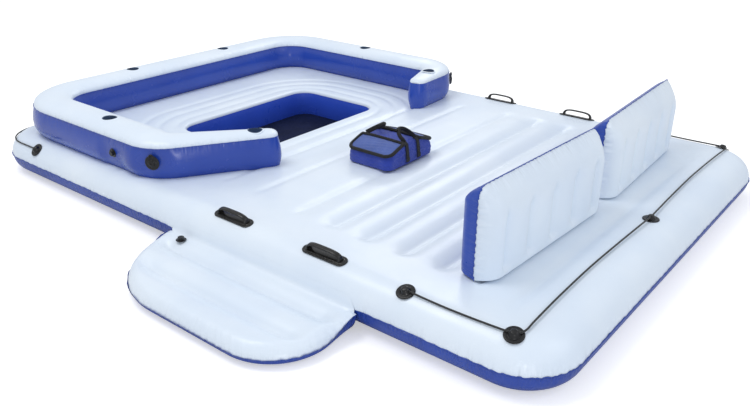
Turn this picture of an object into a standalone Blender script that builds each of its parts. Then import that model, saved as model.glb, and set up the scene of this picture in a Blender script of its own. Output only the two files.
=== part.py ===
# Inflatable floating island: a sofa end with a foot well, a ribbed lounge with two backrests,
# and a boarding platform that folds on the front edge. Metres, +Z up, +X towards the backrests,
# -Y towards the platform. The origin is on the underside, below the middle of the hull.

import math

import bmesh
import bpy
from mathutils import Matrix, Vector
from mathutils.bvhtree import BVHTree

# Clearances
gap = 0.0003
overrun = 0.02

# Hull
hull_length = 3.89
hull_width = 2.74
hull_height = 0.24
hull_corner = 0.26
hull_seam = 0.11
shoulder_width = 0.13
bilge_width = 0.11
skin = 0.012
weld_round = 0.012
corner_steps = 7
weld_steps = 2

# Panel edges along the hull, which follow the air chambers
well_start = -1.10
well_end = -0.40
lounge_start = 0.40
lounge_end = 1.46
side_beam_width = 0.29

# Foot well
well_half_width = 0.58
well_corner = 0.025
well_wall = 0.004
well_floor_height = 0.05
well_lip = 0.018
net_thickness = 0.0025
net_strand = 0.007
net_border = 0.022
net_gaps_long = 13
net_gaps_cross = 8

# Lounge mattress
rib_count = 5
rib_rise = 0.028
rib_end_fade = 0.09
rib_fade_shares = ((0.0, 0.25), (0.35, 0.75), (1.0, 1.0))
rib_roundness = 0.7
web_thickness = 0.006
web_foot_clearance = 0.004

# Bolster
bolster_end_inset = 0.155
bolster_side_inset = 0.225
bolster_half_width = 0.12
bolster_base_draw = 0.050
bolster_top_draw = 0.006
bolster_height = 0.23
bolster_crown = 0.055
bolster_skin = 0.006
bolster_lining_clearance = 0.0015
bolster_corner = 0.30
arm_corner = 0.16
front_arm_x = -0.515
front_arm_angle = 55.0
front_arm_length = 0.574
rear_arm_x = -0.243
rear_arm_angle = 80.0
rear_arm_length = 0.366
arm_root_share = 0.80
arm_tip_share = 0.54
bolster_wall_shares = ((0.35, 0.14), (0.08, 0.36), (0.0, 0.62))
bolster_tip_shares = ((0.55, 0.68), (0.46, 0.88), (0.24, 0.98))
crown_roundness = 0.85
crown_facets = 8

# Cup holders
cup_radius = 0.041
cup_wall = 0.003
cup_depth = 0.075
cup_rim = 0.008
cup_rim_thickness = 0.003
side_cup_x = -0.96
end_cup_y = 0.41
front_cup_share = 0.90
rear_cup_share = 0.60
cup_sides = 16

# Backrests
backrest_x = 1.44
backrest_inner_y = 0.055
backrest_width = 1.00
backrest_height = 0.42
backrest_depth = 0.175
backrest_corner = 0.10
backrest_foot_corner = 0.03
backrest_draw_share = 0.85

# Boarding platform
platform_start = -0.17
platform_finish = 1.06
platform_reach = 0.47
platform_thickness = 0.104
platform_sofa_corner = 0.44
platform_lounge_corner = 0.28
platform_side_round = 0.045
platform_seam_share = 0.38
platform_hinge_margin = 0.097
platform_hinge_tube_share = 0.77
platform_valve_share = 0.45
platform_outer_tubes = 2
platform_rib_dip = 0.020
platform_station_shares = (0.02, 0.08, 0.20, 0.40, 0.68, 1.0)
platform_thinnest_share = 0.30
bottom_edge_share = 0.75
outer_rib_share = 0.97
outer_edge_share = 0.62
hinge_bead = 0.005
bead_sides = 10

# Valves
valve_flange = 0.026
valve_flange_thickness = 0.003
valve_neck = 0.014
valve_neck_height = 0.010
valve_bore = 0.008
valve_bore_depth = 0.009
valve_cap = 0.016
valve_cap_thickness = 0.004
valve_plug = 0.0066
valve_plug_depth = 0.005
valve_hinge_reach = 0.020
valve_hinge_pin = 0.0018
valve_sides = 14
plug_taper_share = 0.9
cap_edge_share = 0.7
cap_top_share = 0.8
bolster_valve_x = -0.78
bolster_valve_level_share = 0.55
hull_valve_x = -0.75
platform_valve_x = -0.03

# Grab handles
handle_length = 0.25
handle_width = 0.064
handle_base_thickness = 0.005
handle_grip_half_span = 0.094
handle_grip_rise = 0.036
handle_grip_half_width = 0.013
handle_grip_half_thickness = 0.0055
handle_first_x = 0.20
handle_second_x = 0.79
handle_inset = 0.102
handle_end_share = 0.98
grip_squareness = 0.55
grip_rise_power = 0.62
grip_slope_least = 0.01
grip_steps = 14
grip_sides = 8

# Rope eyes and ropes
eye_radius = 0.041
eye_thickness = 0.005
eye_boss_radius = 0.019
eye_boss_height = 0.024
rope_radius = 0.00425
rope_clearance = 0.0008
rope_steps = 2
eye_sides = 14
boss_shares = ((0.92, 0.8), (0.6, 1.0))
bolster_eye_level_share = 0.60
bolster_boss_share = 0.85

# Cooler bag
bag_x = 0.285
bag_y = -0.14
bag_length = 0.42
bag_width = 0.30
bag_height = 0.13
bag_end_height = 0.088
bag_band = 0.150
bag_wall = 0.008
bag_round = 0.012
liner_wall = 0.003
lid_thickness = 0.006
lid_clearance = 0.0015
strap_width = 0.022
strap_thickness = 0.003
strap_leg_spacing = 0.104
strap_reach = 0.105

# Rope routes, chosen by hand: in from the hull's end, in from its side, up from the deck
lounge_rope_corner = [
    (0.700, 0.085, 0.0020), (0.615, 0.081, 0.0000), (0.505, 0.080, -0.0020), (0.395, 0.081, -0.0015),
    (0.295, 0.083, 0.0005), (0.235, 0.086, 0.0020), (0.197, 0.096, 0.0040), (0.181, 0.130, 0.0080),
    (0.183, 0.200, 0.0120),
]
sofa_rope_corner = [
    (0.4450, 0.0300, -0.0295), (0.3950, 0.0315, -0.0310), (0.3150, 0.0330, -0.0325),
    (0.2600, 0.0330, -0.0325), (0.2010, 0.0410, -0.0325), (0.1465, 0.0635, -0.0325),
    (0.0995, 0.0995, -0.0325), (0.0635, 0.1465, -0.0325), (0.0410, 0.2010, -0.0320),
    (0.0320, 0.2700, -0.0305), (0.0295, 0.3200, -0.0295), (0.0315, 0.3900, -0.0310),
]
# Along the ends: in from the hull's end, share of its half width, up from the deck
lounge_rope_end = [(0.192, 0.69, 0.0120), (0.197, 0.47, 0.0110), (0.190, 0.24, 0.0120), (0.180, 0.06, 0.0150),
                   (0.177, 0.0, 0.0160)]
sofa_rope_end = [(0.0330, 0.62, -0.0325), (0.0330, 0.33, -0.0325), (0.0330, 0.0, -0.0325)]
lounge_eye_insets = [(0.700, 0.085), (0.210, 0.092)]
lounge_middle_eye_inset = 0.177
sofa_eye_insets = [(0.445, 0.037), (0.040, 0.320)]

# Values that follow
half_length = hull_length / 2
half_width = hull_width / 2
bolster_seam = hull_height + bolster_height - bolster_crown
bolster_top = hull_height + bolster_height
bolster_end_x = -half_length + bolster_end_inset
bolster_side_y = half_width - bolster_side_inset
handle_y = half_width - handle_inset
platform_seam = platform_thickness * platform_seam_share
hinge_y = -half_width - gap - hinge_bead
hinge_z = platform_thickness + hinge_bead + gap
full_turn = 2 * math.pi
quarter = math.pi / 2

for old in list(bpy.data.objects):
    bpy.data.objects.remove(old, do_unlink=True)

materials = {}
finishes = {
    "white_pvc": ((0.86, 0.89, 0.94), 0.38, 0.0),
    "blue_pvc": ((0.045, 0.095, 0.42), 0.36, 0.0),
    "black_moulding": ((0.018, 0.018, 0.020), 0.42, 0.0),
    "net_black": ((0.03, 0.035, 0.05), 0.80, 0.0),
    "rope_black": ((0.02, 0.02, 0.02), 0.75, 0.0),
    "bag_fabric": ((0.03, 0.07, 0.30), 0.70, 0.0),
    "bag_lid": ((0.25, 0.32, 0.48), 0.55, 0.0),
    "bag_webbing": ((0.015, 0.015, 0.018), 0.80, 0.0),
    "liner_foil": ((0.75, 0.76, 0.78), 0.30, 0.8),
}


def finish(name):
    if name not in materials:
        colour, roughness, metallic = finishes[name]
        made = bpy.data.materials.new(name)
        made.use_nodes = True
        shader = made.node_tree.nodes["Principled BSDF"]
        shader.inputs["Base Color"].default_value = (*colour, 1.0)
        shader.inputs["Roughness"].default_value = roughness
        shader.inputs["Metallic"].default_value = metallic
        materials[name] = made
    return materials[name]


def add_object(name, mesh_or_bmesh, material, matrix=None, smooth_angle=35.0):
    if isinstance(mesh_or_bmesh, bmesh.types.BMesh):
        mesh = bpy.data.meshes.new(name)
        bmesh.ops.recalc_face_normals(mesh_or_bmesh, faces=mesh_or_bmesh.faces)
        mesh_or_bmesh.to_mesh(mesh)
        mesh_or_bmesh.free()
    else:
        mesh = mesh_or_bmesh
    mesh.materials.clear()
    mesh.materials.append(finish(material))
    mesh.shade_smooth()
    mesh.set_sharp_from_angle(angle=math.radians(smooth_angle))
    made = bpy.data.objects.new(name, mesh)
    bpy.context.scene.collection.objects.link(made)
    if matrix is not None:
        made.matrix_world = matrix
    return made


def cut(target, cutter, operation="DIFFERENCE"):
    cutter.hide_render = True
    cutter.display_type = "WIRE"
    step = target.modifiers.new("cut", "BOOLEAN")
    step.operation = operation
    step.solver = "EXACT"
    step.object = cutter


def loft(rings, cyclic=False):
    shape = bmesh.new()
    verts = [[shape.verts.new(point) for point in ring] for ring in rings]
    count = len(rings[0])
    pairs = list(zip(verts, verts[1:]))
    if cyclic:
        pairs.append((verts[-1], verts[0]))
    for low, high in pairs:
        for i in range(count):
            j = (i + 1) % count
            shape.faces.new((low[i], low[j], high[j], high[i]))
    if not cyclic:
        shape.faces.new(list(reversed(verts[0])))
        shape.faces.new(verts[-1])
    return shape


def rounded_outline(x0, x1, y0, y1, radii, steps):
    """Outline with a radius and a step count for each corner: -x-y, +x-y, +x+y, -x+y."""
    centres = [(x0, y0, 1, 1), (x1, y0, -1, 1), (x1, y1, -1, -1), (x0, y1, 1, -1)]
    starts = [math.pi, 1.5 * math.pi, 0.0, quarter]
    points = []
    for (cx, cy, sx, sy), start, radius, count in zip(centres, starts, radii, steps):
        for i in range(count + 1):
            angle = start + quarter * i / count
            x = cx + sx * radius + radius * math.cos(angle)
            y = cy + sy * radius + radius * math.sin(angle)
            points.append((x, y))
    return points


def panel_outline(edges, outer, inset_outer, inset_inner):
    """A chamber's outline in plan. Corners on the hull's own corners are large, the rest are square."""
    x0, x1, y0, y1 = edges
    left, right, front, rear = outer
    left_inset = inset_outer if left else inset_inner
    right_inset = inset_outer if right else inset_inner
    front_inset = inset_outer if front else inset_inner
    rear_inset = inset_outer if rear else inset_inner
    radii = []
    steps = []
    for first, second in ((left, front), (right, front), (right, rear), (left, rear)):
        big = first and second
        radii.append(hull_corner - inset_outer if big else weld_round)
        steps.append(corner_steps if big else weld_steps)
    return rounded_outline(x0 + left_inset, x1 - right_inset, y0 + front_inset, y1 - rear_inset,
                           radii, steps)


def shoulder_profile(thickness):
    """Outer inset, inner inset and height of each ring from the seam to the top sheet."""
    rings = []
    levels = 6
    for i in range(levels):
        angle = quarter * i / (levels - 1)
        outer = (shoulder_width - thickness) * (1 - math.cos(angle)) + thickness
        rise = (hull_height - hull_seam - gap - thickness) * math.sin(angle)
        inner = gap / 2 + thickness + (weld_round if i == levels - 1 else 0)
        rings.append((outer, inner, hull_seam + gap + rise))
    return rings


def panel_top(name, edges, outer):
    """Top skin of one chamber: open below, where it meets the bottom sheet at the seam."""
    outside = [(o, i, z) for o, i, z in shoulder_profile(0.0)]
    inside = [(o, i, z) for o, i, z in shoulder_profile(skin)]
    rings = []
    for outer_inset, inner_inset, height in reversed(inside):
        outline = panel_outline(edges, outer, outer_inset, inner_inset)
        rings.append([(x, y, height) for x, y in outline])
    for outer_inset, inner_inset, height in outside:
        outline = panel_outline(edges, outer, outer_inset, inner_inset)
        rings.append([(x, y, height) for x, y in outline])
    return add_object(name, loft(rings), "white_pvc")


def bilge_profile(thickness):
    rings = []
    levels = 5
    for i in range(levels):
        angle = quarter * i / (levels - 1)
        outer = (bilge_width - thickness) * (1 - math.cos(angle)) + thickness
        drop = (hull_seam - thickness) * math.sin(angle)
        rings.append((outer, gap / 2 + thickness, hull_seam - drop))
    return rings


def panel_bottom(name, edges, outer):
    """Bottom tray of one chamber, open above at the seam."""
    rings = []
    for outer_inset, inner_inset, height in reversed(bilge_profile(skin)):
        outline = panel_outline(edges, outer, outer_inset, inner_inset)
        rings.append([(x, y, height) for x, y in outline])
    for outer_inset, inner_inset, height in bilge_profile(0.0):
        outline = panel_outline(edges, outer, outer_inset, inner_inset)
        rings.append([(x, y, height) for x, y in outline])
    return add_object(name, loft(rings), "blue_pvc")


def make_hull():
    panels = {}
    front, rear = -half_width, half_width
    beam = half_width - side_beam_width
    plans = {
        "deck_top_sofa_end": ((-half_length, well_start, front, rear), (1, 0, 1, 1)),
        "deck_top_seat_front": ((well_start, well_end, front, -well_half_width), (0, 0, 1, 0)),
        "deck_top_seat_rear": ((well_start, well_end, well_half_width, rear), (0, 0, 0, 1)),
        "deck_top_centre": ((well_end, lounge_start, front, rear), (0, 0, 1, 1)),
        "deck_top_side_front": ((lounge_start, lounge_end, front, -beam), (0, 0, 1, 0)),
        "deck_top_side_rear": ((lounge_start, lounge_end, beam, rear), (0, 0, 0, 1)),
        "deck_top_lounge_end": ((lounge_end, half_length, front, rear), (0, 1, 1, 1)),
    }
    for name, (edges, outer) in plans.items():
        panels[name] = panel_top(name, edges, outer)
    bottoms = {
        "hull_bottom_sofa_end": ((-half_length, well_start, front, rear), (1, 0, 1, 1)),
        "hull_bottom_seat_front": ((well_start, well_end, front, -well_half_width), (0, 0, 1, 0)),
        "hull_bottom_seat_rear": ((well_start, well_end, well_half_width, rear), (0, 0, 0, 1)),
        "hull_bottom_main": ((well_end, half_length, front, rear), (0, 1, 1, 1)),
    }
    for name, (edges, outer) in bottoms.items():
        panel_bottom(name, edges, outer)
    return panels


def make_mattress():
    """Ribbed top of the lounge with the I-beam webs that tie it to the bottom sheet."""
    beam = half_width - side_beam_width
    x0 = lounge_start + gap / 2
    x1 = lounge_end - gap / 2
    y0 = -beam + gap / 2
    y1 = beam - gap / 2
    pitch = (x1 - x0) / rib_count
    rib_steps = 6
    valley = hull_height - rib_rise
    web_foot = skin + web_foot_clearance

    def section(y, crown_share):
        points = [(x0, hull_seam + gap)]
        for rib in range(rib_count):
            for step in range(rib_steps + (rib == rib_count - 1)):
                angle = math.pi * step / rib_steps
                x = x0 + pitch * (rib + step / rib_steps)
                points.append((x, valley + rib_rise * math.sin(angle) ** rib_roundness * crown_share))
        points.append((x1, hull_seam + gap))
        points.append((x1 - skin, hull_seam + gap))
        points.append((x1 - skin, valley - skin))
        for web in range(rib_count - 1, 0, -1):
            x = x0 + pitch * web
            points.append((x + web_thickness / 2, valley - skin))
            points.append((x + web_thickness / 2, web_foot))
            points.append((x - web_thickness / 2, web_foot))
            points.append((x - web_thickness / 2, valley - skin))
        points.append((x0 + skin, valley - skin))
        points.append((x0 + skin, hull_seam + gap))
        return [(x, y, z) for x, z in points]

    stations = [(y0 + rib_end_fade * place, share) for place, share in rib_fade_shares]
    stations += [(y1 - rib_end_fade * place, share) for place, share in reversed(rib_fade_shares)]
    rings = [section(y, share) for y, share in stations]
    return add_object("lounge_mattress_top", loft(rings), "white_pvc")


def make_well():
    """Blue wall of the foot well, with a lip at its foot that carries the net."""
    low = well_floor_height
    profile = [(0.0, hull_height), (0.0, low), (well_lip, low), (well_lip, low + well_wall),
               (well_wall, low + well_wall), (well_wall, hull_height)]
    rings = []
    for inset, height in profile:
        reach = gap + inset
        corner = max(well_corner - inset, well_corner / 4)
        outline = rounded_outline(well_start + reach, well_end - reach, reach - well_half_width,
                                  well_half_width - reach, [corner] * 4, [3] * 4)
        rings.append([(x, y, height) for x, y in outline])
    add_object("well_wall", loft(rings, cyclic=True), "blue_pvc")

    reach = 2 * gap + well_wall + well_corner * (1 - math.sqrt(0.5))
    lines_x = net_lines(well_start + reach, well_end - reach, net_gaps_cross)
    lines_y = net_lines(reach - well_half_width, well_half_width - reach, net_gaps_long)
    height = low + well_wall + gap
    shape = bmesh.new()
    grid = [[shape.verts.new((x, y, height)) for y in lines_y] for x in lines_x]
    faces = []
    for i in range(len(lines_x) - 1):
        for j in range(len(lines_y) - 1):
            if i % 2 == 1 and j % 2 == 1:
                continue
            faces.append(shape.faces.new((grid[i][j], grid[i + 1][j], grid[i + 1][j + 1], grid[i][j + 1])))
    raised = bmesh.ops.extrude_face_region(shape, geom=faces, use_keep_orig=True)
    tops = [item for item in raised["geom"] if isinstance(item, bmesh.types.BMVert)]
    bmesh.ops.translate(shape, verts=tops, vec=(0, 0, net_thickness))
    add_object("well_net", shape, "net_black")


def net_lines(start, end, gaps):
    """Edges of the border, the strands and the gaps between them."""
    span = end - start - 2 * net_border + net_strand
    pitch = span / gaps
    lines = [start]
    for i in range(gaps):
        lines.append(start + net_border + pitch * i)
        lines.append(start + net_border + pitch * (i + 1) - net_strand)
    lines.append(end)
    return lines


def bolster_half(arm_x, arm_angle, arm_length):
    """Centre line with headings and width shares, from an arm's tip to the sofa end, for the front side."""
    turn = math.radians(arm_angle)
    lead = arm_corner * math.tan(turn / 2)
    corner = Vector((arm_x, -bolster_side_y))
    along = Vector((math.cos(turn), math.sin(turn)))
    half = [(corner + along * arm_length, -along, arm_tip_share)]
    centre = Vector((arm_x - lead, -bolster_side_y + arm_corner))
    arm_steps = 5
    for i in range(arm_steps + 1):
        angle = -quarter + turn * (1 - i / arm_steps)
        direction = Vector((math.cos(angle), math.sin(angle)))
        share = arm_root_share + (1 - arm_root_share) * i / arm_steps
        half.append((centre + direction * arm_corner, Vector((math.sin(angle), -math.cos(angle))), share))
    half.append((Vector((side_cup_x, -bolster_side_y)), Vector((-1, 0)), 1.0))
    centre = Vector((bolster_end_x + bolster_corner, -bolster_side_y + bolster_corner))
    end_steps = 6
    for i in range(end_steps + 1):
        angle = -quarter - quarter * i / end_steps
        direction = Vector((math.cos(angle), math.sin(angle)))
        half.append((centre + direction * bolster_corner, Vector((math.sin(angle), -math.cos(angle))), 1.0))
    return half


def bolster_path():
    """Centre line of the C-shaped bolster from the front arm's tip to the rear arm's tip."""
    path = bolster_half(front_arm_x, front_arm_angle, front_arm_length)
    for point, heading, share in reversed(bolster_half(rear_arm_x, rear_arm_angle, rear_arm_length)):
        path.append((Vector((point.x, -point.y)), Vector((-heading.x, heading.y)), share))
    return path


def bolster_rings(section):
    """Sweep a section of (offset, height) points along the bolster, with rounded tips."""
    path = bolster_path()
    stations = []
    for reach, width in bolster_tip_shares:
        point, heading, share = path[0]
        stations.append((point - heading * bolster_half_width * reach, heading, share * width))
    stations += path
    for reach, width in reversed(bolster_tip_shares):
        point, heading, share = path[-1]
        stations.append((point + heading * bolster_half_width * reach, heading, share * width))
    rings = []
    for point, heading, share in stations:
        side = Vector((heading.y, -heading.x))
        crown_base = bolster_seam + gap
        rings.append([(*(point + side * offset * share),
                       crown_base + (height - crown_base) * share if height > crown_base else height)
                      for offset, height in section])
    return rings


def crown_points(width, rise):
    points = []
    for i in range(crown_facets + 1):
        angle = math.pi * i / crown_facets
        points.append((width * math.cos(angle), bolster_seam + rise * math.sin(angle) ** crown_roundness))
    return points


def make_bolster():
    foot = hull_height + gap
    wide = bolster_half_width
    top_width = wide - bolster_top_draw
    rise = bolster_seam - foot
    wall = [(wide - bolster_base_draw, foot)]
    wall += [(wide - bolster_base_draw * draw, foot + rise * level) for draw, level in bolster_wall_shares]
    wall.append((top_width, bolster_seam))
    lining = bolster_skin + bolster_lining_clearance
    body = wall + crown_points(top_width - lining, bolster_crown - lining)
    body += [(-x, z) for x, z in reversed(wall)]
    bolster = add_object("bolster_body", loft(bolster_rings(body)), "blue_pvc")

    outer = crown_points(top_width, bolster_crown)
    inside = crown_points(top_width - bolster_skin, bolster_crown - bolster_skin)
    crown = [(x, z + gap * (z <= bolster_seam + gap)) for x, z in outer[::-1] + inside]
    top = add_object("bolster_top", loft(bolster_rings(crown)), "white_pvc")
    return bolster, top


def arm_point(arm_x, arm_angle, arm_length, cup_share, side):
    """Place on an arm's centre line, and the crown's height at the higher edge of a cup's rim there."""
    turn = math.radians(arm_angle)
    reach = arm_length * cup_share
    lead = arm_corner * math.tan(turn / 2)
    along = (reach - cup_radius - cup_rim - lead) / (arm_length - lead)
    share = arm_root_share + (arm_tip_share - arm_root_share) * max(along, 0.0)
    return (arm_x + math.cos(turn) * reach, side * (bolster_side_y - math.sin(turn) * reach),
            bolster_seam + gap + (bolster_crown - gap) * share)


def cup_places():
    return [arm_point(front_arm_x, front_arm_angle, front_arm_length, front_cup_share, -1),
            (side_cup_x, -bolster_side_y, bolster_top), (bolster_end_x, -end_cup_y, bolster_top),
            (bolster_end_x, end_cup_y, bolster_top), (side_cup_x, bolster_side_y, bolster_top),
            arm_point(rear_arm_x, rear_arm_angle, rear_arm_length, rear_cup_share, 1)]


def turned(profile, sides, matrix=None):
    """Solid of revolution from (radius, height) points that start and end on the axis."""
    shape = bmesh.new()
    points = [shape.verts.new((radius, 0, height)) for radius, height in profile]
    edges = [shape.edges.new(pair) for pair in zip(points, points[1:])]
    bmesh.ops.spin(shape, geom=points + edges, cent=(0, 0, 0), axis=(0, 0, 1), angle=full_turn,
                   steps=sides, use_merge=True)
    bmesh.ops.remove_doubles(shape, verts=shape.verts, dist=gap / 10)
    if matrix is not None:
        shape.transform(matrix)
    return shape


def make_cups(bolster, top):
    rim_under = gap
    floor = rim_under - cup_depth
    inner = cup_radius - cup_wall
    profile = [(0, floor), (cup_radius - cup_wall, floor), (cup_radius, floor + cup_wall),
               (cup_radius, rim_under), (cup_radius + cup_rim, rim_under),
               (cup_radius + cup_rim, rim_under + cup_rim_thickness / 2),
               (cup_radius + cup_rim - cup_rim_thickness / 2, rim_under + cup_rim_thickness),
               (inner, rim_under + cup_rim_thickness), (inner, floor + 2 * cup_wall),
               (inner - cup_wall, floor + cup_wall), (0, floor + cup_wall)]
    hole = cup_radius + gap
    cutter = [(0, floor - gap), (hole, floor - gap), (hole, rim_under + overrun), (0, rim_under + overrun)]
    for number, (x, y, crown_height) in enumerate(cup_places(), 1):
        place = Matrix.Translation((x, y, crown_height))
        add_object(f"cup_holder_{number}", turned(profile, cup_sides), "black_moulding", place)
        pocket = add_object(f"cup_cut_{number}", turned(cutter, cup_sides), "black_moulding", place)
        cut(bolster, pocket)
        cut(top, pocket)


def pillow_half(name, low_y, high_y, direction, material):
    """Half of a backrest, from its seam plane to its crowned face."""
    foot = hull_height + gap
    rings = []
    levels = 6
    for i in range(levels):
        angle = quarter * i / (levels - 1)
        bulge = (backrest_depth / 2) * math.sin(angle)
        inset = backrest_corner * backrest_draw_share * (1 - math.cos(angle))
        corner = max(backrest_corner - inset, backrest_corner / 4)
        outline = rounded_outline(low_y + inset, high_y - inset, foot,
                                  foot + backrest_height - inset,
                                  [backrest_foot_corner, backrest_foot_corner, corner, corner],
                                  [2, 2, 5, 5])
        x = backrest_x + direction * (gap / 2 + bulge)
        rings.append([(x, y, z) for y, z in outline])
    return add_object(name, loft(rings), material)


def make_backrests():
    for label, side in (("front", -1), ("rear", 1)):
        ends = sorted((side * backrest_inner_y, side * (backrest_inner_y + backrest_width)))
        pillow_half(f"backrest_{label}_face", *ends, -1, "blue_pvc")
        pillow_half(f"backrest_{label}_back", *ends, 1, "white_pvc")


def platform_end_inset(x):
    """How far the rounded outer corners draw the outer edge in at a place along the platform."""
    ends = ((x - platform_start, platform_sofa_corner), (platform_finish - x, platform_lounge_corner))
    for near, corner in ends:
        if near < corner:
            return corner - math.sqrt(max(corner ** 2 - (corner - near) ** 2, 0.0))
    return 0.0


def platform_stations():
    places = [platform_start + platform_sofa_corner * share for share in platform_station_shares]
    places += [platform_finish - platform_lounge_corner * share for share in reversed(platform_station_shares)]
    return places


def platform_end_share(x):
    """Thickness at the two short sides, which are rounded like a tube."""
    near = min(x - platform_start, platform_finish - x)
    if near >= platform_side_round:
        return 1.0
    return max(math.sqrt(1 - (1 - near / platform_side_round) ** 2), platform_thinnest_share)


def make_platform():
    inner_y = hinge_y
    outer_y = inner_y - platform_reach
    tops = []
    bottoms = []
    for x in platform_stations():
        outer = outer_y + platform_end_inset(x)
        full = platform_end_share(x)
        valley = inner_y - platform_hinge_margin
        seam = platform_seam + gap / 2
        rise = (platform_thickness - seam) * full
        top = [(inner_y, seam), (inner_y, seam + rise),
               (inner_y - platform_hinge_margin * platform_hinge_tube_share, seam + rise)]
        steps = platform_outer_tubes * 4
        for step in range(steps - 1):
            dip = platform_rib_dip * (1 + math.cos(full_turn * step / 4)) / 2 * full
            top.append((valley + (outer - valley) * step / steps, seam + rise - dip))
        top += [(outer + platform_side_round, seam + rise * outer_rib_share),
                (outer + platform_side_round / 4, seam + rise * outer_edge_share), (outer, seam)]
        tops.append([(x, y, z) for y, z in top])
        seam = platform_seam - gap / 2
        drop = seam * full
        bottom = [(inner_y, seam), (inner_y - platform_side_round / 3, seam - drop * bottom_edge_share),
                  (inner_y - platform_side_round, seam - drop), (outer + platform_side_round, seam - drop),
                  (outer + platform_side_round / 3, seam - drop * bottom_edge_share), (outer, seam)]
        bottoms.append([(x, y, z) for y, z in bottom])
    top = add_object("platform_top", loft(tops), "white_pvc")
    add_object("platform_bottom", loft(bottoms), "blue_pvc")

    bead = []
    corner = platform_side_round / 2
    for x in (platform_start + corner, platform_finish - corner):
        ring = []
        for i in range(bead_sides):
            angle = full_turn * i / bead_sides
            ring.append((x, hinge_y + hinge_bead * math.cos(angle), hinge_z + hinge_bead * math.sin(angle)))
        bead.append(ring)
    add_object("platform_hinge_bead", loft(bead), "white_pvc")
    return top


def bvh_of(item):
    bpy.context.view_layer.update()
    graph = bpy.context.evaluated_depsgraph_get()
    evaluated = item.evaluated_get(graph)
    mesh = evaluated.to_mesh()
    points = [item.matrix_world @ vertex.co for vertex in mesh.vertices]
    faces = [tuple(face.vertices) for face in mesh.polygons]
    evaluated.to_mesh_clear()
    return BVHTree.FromPolygons(points, faces)


def seat_frame(tree, start, direction, heading):
    """Frame on the face that a ray meets: Z is the face's normal and X lies along the heading."""
    place, normal, _, _ = tree.ray_cast(Vector(start), Vector(direction).normalized())
    if normal.dot(Vector(direction)) > 0:
        normal = -normal
    along = Vector(heading)
    along = (along - normal * along.dot(normal)).normalized()
    across = normal.cross(along)
    frame = Matrix((along, across, normal)).transposed().to_4x4()
    frame.translation = place + normal * gap
    return frame


def make_valve(name, frame):
    """Welded flange with a hollow neck, and a cap whose plug closes the bore."""
    lip = valve_flange_thickness
    top = lip + valve_neck_height
    body = [(0, 0), (valve_flange, 0), (valve_flange, lip / 2), (valve_flange - lip / 2, lip),
            (valve_neck + lip / 2, lip), (valve_neck, lip * 1.5), (valve_neck, top), (valve_bore, top),
            (valve_bore, top - valve_bore_depth), (0, top - valve_bore_depth)]
    add_object(f"{name}_valve_body", turned(body, valve_sides), "black_moulding", frame)

    plug_top = gap
    cap = [(0, plug_top - valve_plug_depth), (valve_plug * plug_taper_share, plug_top - valve_plug_depth),
           (valve_plug, plug_top), (valve_cap - lip / 3, plug_top), (valve_cap, plug_top + lip / 3),
           (valve_cap, valve_cap_thickness * cap_edge_share), (valve_cap * cap_top_share, valve_cap_thickness),
           (0, valve_cap_thickness)]
    shape = turned(cap, valve_sides, Matrix.Translation((-valve_hinge_reach, 0, 0)))
    hinge = frame @ Matrix.Translation((valve_hinge_reach, 0, top))
    lid = add_object(f"{name}_valve_cap", shape, "black_moulding", hinge)
    tab = bmesh.new()
    start = valve_cap * cap_top_share - valve_hinge_reach
    size = (valve_hinge_pin - start, valve_cap / 2, valve_cap_thickness * cap_edge_share)
    middle = ((valve_hinge_pin + start) / 2, 0, plug_top + size[2] / 2)
    bmesh.ops.create_cube(tab, size=1, matrix=Matrix.Translation(middle) @ Matrix.Diagonal((*size, 1)))
    tab_object = add_object(f"{name}_tab_guide", tab, "black_moulding", hinge)
    cut(lid, tab_object, "UNION")


def make_handle(name, frame):
    """Moulded grab handle: a welded base with an arched grip."""
    rings = []
    lip = handle_base_thickness
    for inset, height in ((0.0, 0.0), (0.0, lip / 2), (lip / 2, lip)):
        half_x = handle_length / 2 - inset
        half_y = handle_width / 2 - inset
        outline = rounded_outline(-half_x, half_x, -half_y, half_y, [half_y * handle_end_share] * 4, [4] * 4)
        rings.append([(x, y, height) for x, y in outline])
    base = add_object(name, loft(rings), "black_moulding", frame)
    grip = []
    for i in range(grip_steps + 1):
        angle = math.pi * i / grip_steps
        lean = math.copysign(abs(math.cos(angle)) ** grip_squareness, math.cos(angle))
        rise = handle_grip_rise * math.sin(angle) ** grip_rise_power
        centre = Vector((handle_grip_half_span * lean, 0, lip / 2 + rise))
        slope = Vector((math.sin(angle) + grip_slope_least, 0, -math.cos(angle))).normalized()
        up = Vector((0, 1, 0)).cross(slope)
        ring = []
        for k in range(grip_sides):
            turn = full_turn * k / grip_sides
            ring.append(centre + Vector((0, 1, 0)) * handle_grip_half_width * math.cos(turn)
                        + up * handle_grip_half_thickness * math.sin(turn))
        grip.append(ring)
    arch = add_object(f"{name}_grip_guide", loft(grip), "black_moulding", frame)
    cut(base, arch, "UNION")


def rope_route(corner, end, side):
    """Route from the front side round one end of the hull to the rear side."""
    half = [(side * (half_length - inset), y - half_width, hull_height + lift) for inset, y, lift in corner]
    half += [(side * (half_length - inset), -half_width * share, hull_height + lift) for inset, share, lift in end]
    return half + [(x, -y, z) for x, y, z in reversed(half[:-1])]


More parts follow.
